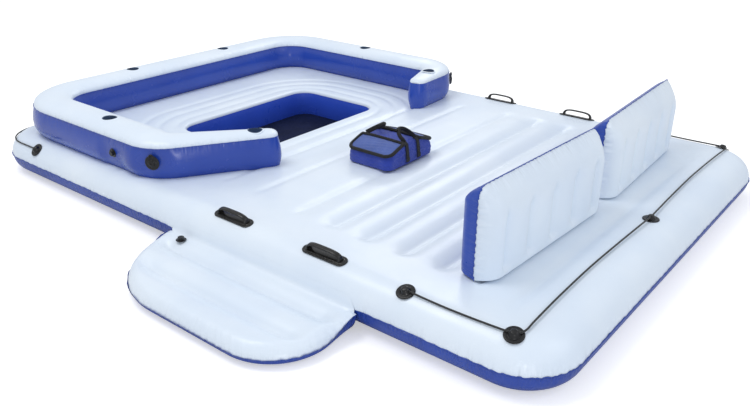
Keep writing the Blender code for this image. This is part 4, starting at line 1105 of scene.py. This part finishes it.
def makePlatformBottom():
    steps = 36
    x, y, faces, columns = platformPlan(24, steps)
    distance = platformDistance(x, y)
    z = platformSeam(y) * (1 - dome(distance / platform["bottomEdge"]))
    run = platformRun(x, y)
    # The weld stands out from the free edge, wavy
    wavy = waves(run, 0.3, platform["puckerPitch"])
    outward = np.stack([x - platform["middleX"], y - platform["middleY"]], axis=1)
    outward /= np.maximum(np.linalg.norm(outward, axis=1), 1e-9)[:, None]
    edgeRow = (distance < 1e-4) & (y < platform["inner"] - 0.02)
    out = np.where(edgeRow, 0.0035 + 0.004 * wavy, 0.0)
    z = z + np.where(edgeRow, 0.002 + 0.009 * wavy, 0.0)
    points = np.column_stack([x + outward[:, 0] * out, y + outward[:, 1] * out, z])
    uvs = np.column_stack([run, distance * 0.8])
    # Wall that closes the platform beside the hull
    first = np.arange(columns) * (steps + 1)
    low = points[first]
    high = low.copy()
    high[:, 2] = platformTop(low[:, 0], low[:, 1])[0] - 0.0006
    middle = (low + high) / 2
    middle[:, 1] -= 0.002
    base = len(points)
    points = np.concatenate([points, middle, high])
    uvs = np.concatenate([uvs] + [np.column_stack([low[:, 0], line[:, 2]]) for line in (middle, high)])
    faces += [(first[i], first[i + 1], base + i + 1, base + i) for i in range(columns - 1)]
    faces += stripFaces(2, columns, base, False)
    makePiece("platform_bottom_sheet", points, faces, "blue", "boarding_platform",
              ("platform_bottom",), uvs)


# White strip that is welded to the hull's side and to the platform
def makeHingeWeld():
    rows, lay = [], []
    spots = np.linspace(platform["start"] + weld["inset"], platform["finish"] - weld["inset"], weld["spots"])
    for place in spots:
        wave = 0.0008 * math.sin(place * 41) + 0.0006 * math.sin(place * 97)
        toEnd = min(place - spots[0], spots[-1] - place)
        hold = math.sqrt(float(ease(np.array(toEnd / weld["endFade"] + 0.02))))
        section = [(y, weld["z"] + (z - weld["z"]) * hold) for y, z in
                   ((-1.3600, 0.1600), (-1.3652, 0.1500), (-1.3700, 0.1350), (-1.3730, 0.1220 + wave),
                    (-1.3775, 0.1130 + wave), (-1.3850, 0.1070))]
        # The last two rows lie on the platform's top
        section += [(y, float(platformTop(np.array([place]), np.array([y]))[0][0]) + lift)
                    for y, lift in ((-1.3960, 0.0009), (-1.4080, -0.0012))]
        rows += [(place, weld["y"] + (y - weld["y"]) * hold, z) for y, z in section]
        lay += [(place, 0.5)] * len(section)
    makePiece("platform_hinge_weld", rows, stripFaces(len(spots), len(section), 0, False), "whitePlain", None,
              ("platform_hinge_bead",), lay)


# Fittings
handles = {"xs": (0.20, 0.79), "y": 1.268, "length": 0.25, "width": 0.064, "span": 0.094, "rise": 0.036,
           "baseSides": 72, "gripSides": 20, "gripSteps": 56}
eyes = {"radius": 0.041,
        "lounge": ((1.245, -1.285), (1.735, -1.278), (1.768, 0.0), (1.735, 1.278), (1.245, 1.285)),
        "sofa": ((-1.500, -1.333), (-1.905, -1.050), (-1.905, 1.050), (-1.500, 1.333)), "sides": 48}
discs = {"level": 0.345, "tabRadius": 0.0035, "tabSides": 12, "tabSteps": 20}
valves = {"sides": 48, "neck": 0.013, "hull": (-0.75, 1.3269, 0.2052), "platform": (-0.03, -1.4189, 0.1043)}


# Place and normal on the hull's top sheet, with X along the hull
def hullFrame(x, y, lift=0.0003):
    awayX, awayY, past = shoulderAt(x, y)
    out = max(math.hypot(awayX, awayY), 1e-9)
    level = math.sqrt(1 - past * past)
    normal = Vector((awayX / out * past, awayY / out * past, level)).normalized()
    along = (Vector((1, 0, 0)) - normal * normal.x).normalized()
    pose = Matrix((along, normal.cross(along), normal)).transposed().to_4x4()
    pose.translation = Vector((x, y, hull["seam"] + (hull["top"] - hull["seam"]) * level)) + normal * lift
    return pose


def makeEyes():
    r = eyes["radius"]
    profile = softened([(0, 0), (r, 0), (r, 0.0025), (r - 0.003, 0.005), (0.027, 0.0052), (0.026, 0.0042),
                        (0.0235, 0.0042), (0.0225, 0.0058), (0.020, 0.010), (0.0165, 0.0185),
                        (0.0115, 0.0232), (0, 0.024)], 0.0016)
    for name in ("lounge", "sofa"):
        for number, (x, y) in enumerate(eyes[name], 1):
            points, faces = turnedPoints(profile, eyes["sides"], hullFrame(x, y))
            makePiece(f"{name}_eye_{number}", points, faces, "black", "island",
                      (f"{name}_rope_eye_{number}",))


# Base plate of a handle: rounded ends, a raised edge and a step inside it
def handleBase(pose):
    halfX, halfY, count = handles["length"] / 2, handles["width"] / 2, handles["baseSides"]
    rings = ((0.0, 0.0), (0.0, 0.0028), (0.0010, 0.0044), (0.0030, 0.0050), (0.0075, 0.0050),
             (0.0085, 0.0038), (0.0110, 0.0034), (0.0130, 0.0046))
    points = []
    for inset, height in rings:
        for k in range(count):
            angle = turn * k / count
            endX = math.copysign(halfX - halfY, math.cos(angle)) if abs(math.cos(angle)) > 1e-9 else 0.0
            reach = halfY - inset
            points.append(pose @ Vector((endX + reach * math.cos(angle), reach * math.sin(angle), height)))
    faces = stripFaces(len(rings), count)
    faces.append(tuple(range(count * (len(rings) - 1), count * len(rings))))
    faces.append(tuple(reversed(range(count))))
    return points, faces


def signedPower(value, power):
    return math.copysign(abs(value) ** power, value)


# Grip of a handle: an arch with a rounded oblong section, wider at its feet
def handleGrip(pose):
    steps, sides = handles["gripSteps"], handles["gripSides"]
    sideways = Vector((0, 1, 0))
    arch = []
    for i in range(steps + 1):
        angle = math.pi * i / steps
        lean = signedPower(math.cos(angle), 0.55)
        arch.append(Vector((handles["span"] * lean, 0, 0.003 + handles["rise"] * math.sin(angle) ** 0.62)))
    points = []
    for i, centre in enumerate(arch):
        ahead = (arch[min(i + 1, steps)] - arch[max(i - 1, 0)]).normalized()
        up = sideways.cross(ahead).normalized()
        foot = (abs(i / steps - 0.5) * 2) ** 6
        wide, thick = 0.013 + 0.006 * foot, 0.0055 + 0.0015 * foot
        for k in range(sides):
            angle = turn * k / sides
            across = sideways * wide * signedPower(math.cos(angle), 0.75)
            points.append(pose @ (centre + across + up * thick * signedPower(math.sin(angle), 0.75)))
    return points


def makeHandles():
    places = [(x, side * handles["y"]) for side in (-1, 1) for x in handles["xs"]]
    for number, (x, y) in enumerate(places, 1):
        pose = hullFrame(x, y)
        points, faces = handleBase(pose)
        faces += stripFaces(handles["gripSteps"] + 1, handles["gripSides"], len(points))
        makePiece(f"handle_{number}", points + handleGrip(pose), faces, "handle", "island",
                  (f"grab_handle_{number}",), None, 50)


def valveParts(name, pose, bodyName, capBody):
    flange = softened([(0, 0), (0.026, 0), (0.026, 0.0015), (0.0245, 0.003), (0.0155, 0.0032),
                       (0.014, 0.0045), (0.014, 0.0130), (0.008, 0.0130), (0.008, 0.0045),
                       (0, 0.0045)], 0.0010)
    points, faces = turnedPoints(flange, valves["sides"], pose)
    makePiece(f"{name}_valve_flange", points, faces, "black", bodyName,
              (f"{name}_valve_body",))
    cap = softened([(0, -0.0047), (0.0058, -0.0047), (0.0066, 0.0003), (0.0150, 0.0003), (0.016, 0.0016),
                    (0.016, 0.0028), (0.0128, 0.004), (0.0105, 0.004), (0.0100, 0.0034), (0, 0.0034)], 0.0008)
    points, faces = turnedPoints(cap, valves["sides"], pose @ Matrix.Translation((0, 0, valves["neck"])))
    # Tab that the cap is lifted by
    outline = ((0.012, -0.006), (0.0205, -0.0045), (0.0222, -0.002), (0.0222, 0.002), (0.0205, 0.0045),
               (0.012, 0.006))
    start, count = len(points), len(outline)
    points += [tuple(pose @ Vector((u, v, valves["neck"] + lift)))
               for lift in (0.0006, 0.0030) for u, v in outline]
    faces += stripFaces(2, count, start)
    faces += [tuple(range(start + count, start + 2 * count)), tuple(reversed(range(start, start + count)))]
    makePiece(f"{name}_valve_lid", points, faces, "black", capBody, (f"{name}_valve_cap",),
              None, 40)


# Valves on the hull's rear side, on the bolster's front wall and on the platform
def makeValves():
    hullPose = Matrix(((1, 0, 0), (0, 0.7079, 0.7063), (0, -0.7063, 0.7079))).to_4x4()
    hullPose.translation = valves["hull"]
    valveParts("hull", hullPose, "island", "hull_cap")
    sidePose = Matrix(((0, -1, 0), (-0.0877, 0, -0.9961), (0.9961, 0, -0.0877))).to_4x4()
    sidePose.translation = bolster["valve"]
    valveParts("bolster", sidePose, "island", "bolster_cap")
    valveParts("platform", Matrix.Translation(valves["platform"]), "boarding_platform", "platform_cap")


def makeBolsterEyes():
    r = eyes["radius"]
    profile = softened([(0, 0), (r, 0), (r, 0.0025), (r - 0.003, 0.005), (0.030, 0.0052), (0.029, 0.0040),
                        (0.025, 0.0040), (0.024, 0.0056), (0.019, 0.0060), (0.0165, 0.0125), (0.008, 0.0145),
                        (0.0065, 0.0105), (0, 0.0105)], 0.0014)
    sides, steps, radius = discs["tabSides"], discs["tabSteps"], discs["tabRadius"]
    for number, (place, away) in enumerate(bolsterSpots(), 1):
        normal = Vector((away.x, away.y, 0))
        pose = Matrix((upward, normal.cross(upward), normal)).transposed().to_4x4()
        pose.translation = Vector((place.x, place.y, discs["level"])) + normal * 0.0006
        points, faces = turnedPoints(profile, eyes["sides"], pose)
        faces += stripFaces(steps + 1, sides, len(points))
        # Small pull tab above the disc
        for i in range(steps + 1):
            angle = math.pi * i / steps
            centre = Vector((0.030 + 0.017 * math.sin(angle), 0.013 * math.cos(angle), 0.0065))
            inward = Vector((math.sin(angle), math.cos(angle), 0)).normalized()
            for k in range(sides):
                a = turn * k / sides
                around = inward * radius * math.cos(a) + upward * radius * math.sin(a)
                points.append(tuple(pose @ (centre + around)))
        makePiece(f"bolster_disc_{number}", points, faces, "black", "island",
                  (f"bolster_eye_{number}",))


# Ropes: half of each route, from the front side to the middle of the hull's end
rope = {"radius": 0.00425, "sides": 14, "halfGirth": 0.0134}
loungeRoute = [(1.2450, -1.2850, 0.2420), (1.3300, -1.2890, 0.2400), (1.4400, -1.2900, 0.2380),
               (1.5500, -1.2890, 0.2385), (1.6500, -1.2870, 0.2405), (1.7100, -1.2840, 0.2420),
               (1.7480, -1.2740, 0.2440), (1.7640, -1.2400, 0.2480), (1.7620, -1.1700, 0.2520),
               (1.7530, -0.9453, 0.2520), (1.7480, -0.6439, 0.2510), (1.7550, -0.3288, 0.2520),
               (1.7650, -0.0822, 0.2550), (1.7680, 0.0000, 0.2560),]
sofaRoute = [(-1.5000, -1.3400, 0.2105), (-1.5500, -1.3385, 0.2090), (-1.6300, -1.3370, 0.2075),
             (-1.6850, -1.3370, 0.2075), (-1.7440, -1.3290, 0.2075), (-1.7985, -1.3065, 0.2075),
             (-1.8455, -1.2705, 0.2075), (-1.8815, -1.2235, 0.2075), (-1.9040, -1.1690, 0.2080),
             (-1.9130, -1.1000, 0.2095), (-1.9155, -1.0500, 0.2105), (-1.9135, -0.9800, 0.2090),
             (-1.9120, -0.8494, 0.2075), (-1.9120, -0.4521, 0.2075), (-1.9120, 0.0000, 0.2075),]


def makeRope(name, node, halfRoute):
    route = halfRoute + [(x, -y, z) for x, y, z in reversed(halfRoute[:-1])]
    path = [Vector(point) for point in smoothLine(route, 6)]
    section = []
    for k in range(rope["sides"]):
        share = k / rope["sides"]
        section.append((rope["radius"] * math.cos(turn * share), rope["radius"] * math.sin(turn * share),
                        abs(share * 2 - 1) * rope["halfGirth"]))
    points, faces, lay = swept(path, section)
    made = makePiece(name, points, faces, "rope", "island", (node,), lay)


def makeRopes():
    makeRope("lounge_grab_rope", "lounge_rope", loungeRoute)
    makeRope("sofa_grab_rope", "sofa_rope", sofaRoute)


# Cooler bag: it stands with its length across the hull
bag = {"x": 0.285, "y": -0.14, "foot": 0.2403, "length": 0.42, "width": 0.30, "height": 0.13,
       "endHeight": 0.088, "band": 0.15, "corner": 0.045, "step": 0.008, "swell": 0.0085, "lean": 0.006,
       "bandPuff": 0.006, "lidPuff": 0.015, "binding": 0.0100, "strapY": 0.052, "strapWide": 0.026,
       "strapThick": 0.0030, "patchWide": 0.030, "patchThick": 0.0034, "handleThick": 0.0050,
       "gripRadius": 0.0115, "handleIn": 0.012, "handleReach": 0.078, "handleFoot": 0.1370,
       "handleRise": 0.050}
bagBase = Vector((bag["x"], bag["y"], bag["foot"]))
bagHalfX, bagHalfY = bag["width"] / 2, bag["length"] / 2


def tube(path, radius, sides=14):
    angles = [turn * k / sides for k in range(sides)]
    return swept(path,
                 [(radius * math.cos(angle), radius * math.sin(angle), radius * angle) for angle in angles])


# Flat webbing along a path, its width lying along the sideways direction
def ribbon(path, sideways, wide, thick):
    outline = ((-0.5, -0.5), (-0.5, 0.5), (-0.25, 0.62), (0.25, 0.62), (0.5, 0.5), (0.5, -0.5))
    return swept(path, [(wide * a, -thick * b, wide * a) for a, b in outline], sideways)


def joined(parts):
    points, faces, lay = [], [], []
    for partPoints, partFaces, partLay in parts:
        start = len(points)
        points += partPoints
        faces += [tuple(vertex + start for vertex in face) for face in partFaces]
        lay += partLay
    return points, faces, lay


# Height of the bag's top edge along its length: low ends, a flat band in the middle
def bagTop(y):
    band = bag["band"] / 2
    t = np.clip((bagHalfY - np.abs(y)) / (bagHalfY - band), 0, 1)
    return bag["endHeight"] + (bag["height"] - bag["endHeight"]) * (t * 0.75 + ease(t) * 0.25)


def bagTopAt(y):
    return float(bagTop(np.array([y]))[0])


# Half width of the bag's rounded outline at a place along its length
def bagHalf(y):
    corner = bag["corner"]
    past = min(max(abs(y) - (bagHalfY - corner), 0.0), corner)
    return bagHalfX - corner + math.sqrt(max(corner * corner - past * past, 0.0))


# Outline of the bag seen from above, in short steps
def bagOutline():
    corner, perCorner = bag["corner"], 12
    outline = []
    for sx, sy, startAngle in ((1, -1, -quarter), (1, 1, 0.0), (-1, 1, quarter), (-1, -1, math.pi)):
        for k in range(perCorner):
            angle = startAngle + quarter * k / (perCorner - 1)
            outline.append((sx * (bagHalfX - corner) + corner * math.cos(angle),
                            sy * (bagHalfY - corner) + corner * math.sin(angle)))
    dense = []
    for point, after in zip(np.array(outline), np.array(outline[1:] + outline[:1])):
        count = max(1, int(math.dist(point, after) / bag["step"]))
        dense += [point + (after - point) * k / count for k in range(count)]
    return np.array(dense)


def insetOutline(dense, inset):
    return dense * np.array([(bagHalfX - inset) / bagHalfX, (bagHalfY - inset) / bagHalfY])


def makeBagShell():
    dense = bagOutline()
    total = len(dense)
    radial = np.hypot(dense[:, 0], dense[:, 1])[:, None]
    lengths = np.concatenate([[0], np.cumsum(np.linalg.norm(np.diff(dense, axis=0), axis=1))])
    top = bagTop(dense[:, 1])
    rings, lay = [], []
    for inset, height in ((0.080, 0.0), (0.026, 0.0), (0.010, 0.0035)):
        rings.append(np.column_stack([insetOutline(dense, inset), np.full(total, height)]))
        lay.append(np.column_stack([lengths, np.full(total, -inset)]))
    # Full cloth: it leans in to the mouth, swells low down and creases
    levels, low = 24, 0.010
    for k in range(levels + 1):
        share = k / levels
        middle = math.sin(math.pi * share)
        swell = bag["swell"] * math.sin(math.pi * min(share + 0.10, 1.0)) ** 0.8 - bag["lean"] * share
        crumple = 0.0018 * np.sin(lengths * 31 + 3.0 * share) + 0.0012 * np.sin(lengths * 73 - 5.0 * share)
        sag = 0.0016 * np.sin(share * 21 + np.sin(lengths * 12) * 1.8)
        spot = dense * (1 + (swell + (crumple + sag) * middle)[:, None] / radial)
        height = low + (top - low) * share
        rings.append(np.column_stack([spot, height]))
        lay.append(np.column_stack([lengths, height]))
    # Turned hem inside the mouth
    for inset, drop in ((0.008, 0.0), (0.0095, 0.004), (0.0095, 0.030)):
        rings.append(np.column_stack([dense * (1 - inset / radial), top - drop]))
        lay.append(np.column_stack([lengths, top - drop]))
    body = np.concatenate(rings) + np.array(bagBase)
    faces = stripFaces(len(rings), total)
    faces.append(tuple(range(total)))
    patch, patchLay, patchFaces = bagBand(len(body))
    shell = makePiece("bag_shell", np.concatenate([body, patch]), faces + patchFaces, "bagCloth",
                      "cooler_bag", ("bag_body",), np.concatenate(lay + [patchLay]))


# Band across the middle of the mouth: two layers, closed at the ends
def bagBand(start):
    band, columns, across = bag["band"] / 2, 30, 16
    points, lay = [], []
    for layer in (0, 1):
        for i in range(columns + 1):
            s = i / columns * 2 - 1
            for j in range(across + 1):
                x, y = s * (bagHalfX - 0.006), -band + 2 * band * j / across
                puff = bag["bandPuff"] * (1 - s * s) ** 0.7 * math.sin(math.pi * j / across) ** 0.7
                fold = 0.0010 * math.sin(s * 17 + y * 60) * (1 - s * s)
                points.append(bagBase + Vector((x, y, bag["height"] + puff + fold - 0.0015 - layer * 0.004)))
                lay.append((x, y))
    row = across + 1
    size = (columns + 1) * row
    faces = [face for layer in (0, 1) for face in stripFaces(columns + 1, row, start + layer * size, False)]
    for i in range(columns):
        for j in (0, across):
            a = start + i * row + j
            faces.append((a, a + row, a + row + size, a + size))
    return np.array(points), np.array(lay), faces


# Padded lid from an end of the bag to the band: two layers, closed round the rim
def makeBagLid(label, side):
    rows, columns, band = 30, 32, bag["band"] / 2
    points, lay = [], []
    for layer in (0, 1):
        for i in range(rows + 1):
            t = (i / rows) ** 1.4
            y = side * (bagHalfY - 0.0005 - (bagHalfY - band - 0.002) * t)
            edge = bagTopAt(y)
            for j in range(columns + 1):
                s = j / columns * 2 - 1
                x = s * max(bagHalf(y) - 0.003, 0.004)
                puff = bag["lidPuff"] * (1 - s * s) ** 0.5 * math.sin(math.pi * min(t, 1.0)) ** 0.5
                wrinkle = 0.0014 * math.sin(19 * s + 7 * t + side) + 0.0009 * math.sin(37 * t - 9 * s)
                swell = puff + wrinkle * (1 - s * s) * t * (1 - t) * 4
                points.append(bagBase + Vector((x, y, edge + 0.0012 + (swell if layer == 0 else -0.001))))
                lay.append((x, y))
    row = columns + 1
    size = (rows + 1) * row
    faces = [face for layer in (0, 1) for face in stripFaces(rows + 1, row, layer * size, False)]
    rim = [i * row for i in range(rows + 1)] + [rows * row + j for j in range(1, columns + 1)]
    rim += [i * row + columns for i in range(rows - 1, -1, -1)] + list(range(columns - 1, 0, -1))
    faces += [(a, b, b + size, a + size) for a, b in zip(rim, rim[1:] + rim[:1])]
    lid = makePiece(f"bag_{label}_lid", points, faces, "lidCloth", f"lid_{label}",
                    (f"bag_lid_{label}",), lay)


# Binding over the zip, round the lid's free edges
def makeBagBinding(label, side):
    band, corner, steps = bag["band"] / 2, bag["corner"], 33
    left = []
    for i in range(steps + 1):
        y = side * (bagHalfY - 0.001 - (bagHalfY - band) * (i / steps) ** 1.5)
        left.append(bagBase + Vector((-bagHalf(y) + 0.002, y, bagTopAt(y) + 0.003)))
    right = [Vector((2 * bagBase.x - point.x, point.y, point.z)) for point in reversed(left)]
    inner = [bagBase + Vector((x, side * band, bag["height"] + 0.004 + 0.004 * (1 - (x / bagHalfX) ** 2)))
             for x in np.linspace(-bagHalfX + 0.010, bagHalfX - 0.010, 30)[1:-1]]
    outer = [bagBase + Vector((x, side * (bagHalfY - 0.001), bag["endHeight"] + 0.003))
             for x in np.linspace(bagHalfX - corner - 0.006, -bagHalfX + corner - 0.0065, 26)]
    points, faces, lay = tube(left + inner + right + outer, bag["binding"])
    makePiece(f"bag_{label}_binding", points, faces, "webbing", f"lid_{label}", (), lay)


def makeBagLids():
    for label, side in (("front", -1), ("rear", 1)):
        makeBagLid(label, side)
        makeBagBinding(label, side)


# Straps up both sides, each with a stitched patch at its foot
def makeBagStraps():
    steps, along = 11, Vector((0, 1, 0))
    straps = []
    for side in (-1, 1):
        for end in (-1, 1):
            rise = [(bagHalfX + 0.0125 - 0.0105 * (k / steps) ** 2, 0.030 + 0.0086 * k)
                    for k in range(steps + 1)]
            rise += [(bagHalfX - 0.012, 0.1375), (bagHalfX - 0.026, 0.1400)]
            patch = [(bagHalfX + 0.0145, z) for z in (0.026, 0.038, 0.050)]
            for line, wide, thick in ((rise, bag["strapWide"], bag["strapThick"]),
                                      (patch, bag["patchWide"], bag["patchThick"])):
                path = [bagBase + Vector((side * x, end * bag["strapY"], z)) for x, z in line]
                straps.append(ribbon(path, along, wide, thick))
    points, faces, lay = joined(straps)
    makePiece("bag_straps", points, faces, "webbing", "cooler_bag", (), lay, 50)


# Carry handles that arch over the band, with a padded grip in the middle
def makeBagHandles():
    steps = 40
    for label, side in (("inner", -1), ("outer", 1)):
        hingeX = side * (bagHalfX - bag["handleIn"])
        path = []
        for k in range(steps + 1):
            angle = math.pi * k / steps
            lean = math.sin(angle) ** 0.7
            y = -bag["strapY"] * math.cos(angle) * (1 - 0.10 * lean)
            path.append(bagBase + Vector((hingeX - side * bag["handleReach"] * lean, y,
                                          bag["handleFoot"] + bag["handleRise"] * lean)))
        strap = ribbon(path, Vector((side * 0.6, 0, 1)), bag["strapWide"], bag["handleThick"])
        points, faces, lay = joined([strap, tube(path[12:29], bag["gripRadius"])])
        makePiece(f"bag_{label}_handle", points, faces, "webbing", f"handle_{label}",
                  (f"bag_handle_{label}",), lay, 50)


# Foil liner, just inside the cloth
def makeBagLiner():
    dense = bagOutline()
    total = len(dense)
    rings = []
    for inset, height in ((0.014, 0.0125), (0.014, 0.074), (0.0125, 0.076), (0.0125, 0.0105)):
        rings.append(np.column_stack([insetOutline(dense, inset), np.full(total, height)]))
    faces = stripFaces(len(rings), total)
    faces += [tuple(range(total)), tuple(range(3 * total, 4 * total))]
    makePiece("bag_foil", np.concatenate(rings) + np.array(bagBase), faces, "foil", "cooler_bag",
              ("bag_liner",), None, 40)


# Stage and light
stage = {"floorRadius": 40, "floorDrop": 0.002, "floorGlow": 0.46, "skyColour": (0.93, 0.96, 1.0),
         "skyStrength": 0.72}
# Place, aim, size, power and colour
lamps = {"key": ((-1.8, -2.6, 6.6), (-0.2, 0.0, 0.0), 3.2, 141.0, (1.0, 0.99, 0.97)),
         "fill": ((5.5, 0.5, 4.0), (0.6, 0.0, 0.2), 4.0, 45.0, (0.93, 0.96, 1.0)),
         "sheen": ((3.4, -3.6, 0.4), (-0.4, -1.1, 0.36), 0.45, 14.0, (1.0, 1.0, 1.0)),
         "back": ((-3.0, 5.5, 4.5), (0.0, 0.4, 0.2), 3.0, 60.0, (0.97, 0.98, 1.0))}


# What the camera sees and what only lights the object come from two shaders
def seenMix(tree, plain, seen, output):
    path = tree.nodes.new("ShaderNodeLightPath")
    pick = tree.nodes.new("ShaderNodeMixShader")
    tree.links.new(path.outputs["Is Camera Ray"], pick.inputs[0])
    tree.links.new(plain.outputs[0], pick.inputs[1])
    tree.links.new(seen.outputs[0], pick.inputs[2])
    tree.links.new(pick.outputs[0], tree.nodes[output].inputs["Surface"])


# Pale paper floor; a glow that only the camera sees takes it to white
def makeFloor():
    floor = bpy.data.meshes.new("floor")
    shape = bmesh.new()
    bmesh.ops.create_circle(shape, cap_ends=True, segments=96, radius=stage["floorRadius"])
    bmesh.ops.translate(shape, verts=shape.verts, vec=(0, 0, -stage["floorDrop"]))
    shape.to_mesh(floor)
    shape.free()
    nodes = Nodes("floor_paper")
    material = nodes.finish(nodes.mix(nodes.noise(0.7, 2.0), (0.80, 0.80, 0.80), (0.82, 0.82, 0.82)), 0.95)
    glow = nodes.tree.nodes.new("ShaderNodeEmission")
    glow.inputs["Strength"].default_value = stage["floorGlow"]
    both = nodes.tree.nodes.new("ShaderNodeAddShader")
    nodes.link(nodes.shader.outputs[0], both.inputs[0])
    nodes.link(glow.outputs[0], both.inputs[1])
    seenMix(nodes.tree, nodes.shader, both, "Material Output")
    floor.materials.append(material)
    plane = bpy.data.objects.new("floor", floor)
    scene.collection.objects.link(plane)


# Soft sky light, and plain white behind the object
def makeWorld():
    world = bpy.data.worlds.new("studio")
    scene.world = world
    world.use_nodes = True
    tree = world.node_tree
    soft = tree.nodes["Background"]
    soft.inputs["Color"].default_value = (*stage["skyColour"], 1.0)
    soft.inputs["Strength"].default_value = stage["skyStrength"]
    plain = tree.nodes.new("ShaderNodeBackground")
    plain.inputs["Color"].default_value = (1, 1, 1, 1)
    plain.inputs["Strength"].default_value = 1.0
    seenMix(tree, soft, plain, "World Output")


def makeLamps():
    for name, (place, aim, size, power, colour) in lamps.items():
        data = bpy.data.lights.new(name, "AREA")
        data.shape = "DISK"
        data.size = size
        data.energy = power
        data.color = colour
        lamp = bpy.data.objects.new(name, data)
        direction = Vector(aim) - Vector(place)
        aimed = direction.to_track_quat("-Z", "Y").to_matrix().to_4x4()
        lamp.matrix_world = Matrix.Translation(place) @ aimed
        scene.collection.objects.link(lamp)
    scene.view_settings.view_transform = "Standard"


# Build
makers = {"camera": (makeCamera,), "hull": (makeHullTop, makeHullBottom, makeNet),
          "bolster": (makeBolster, makeCups), "backrests": (makeBackrests,),
          "platform": (makePlatformTop, makePlatformBottom, makeHingeWeld),
          "fittings": (makeEyes, makeHandles, makeValves, makeBolsterEyes), "ropes": (makeRopes,),
          "bag": (makeBagShell, makeBagLids, makeBagStraps, makeBagHandles, makeBagLiner),
          "stage": (makeFloor, makeWorld, makeLamps)}
for part, steps in makers.items():
    for step in steps:
        step()
    print(part)
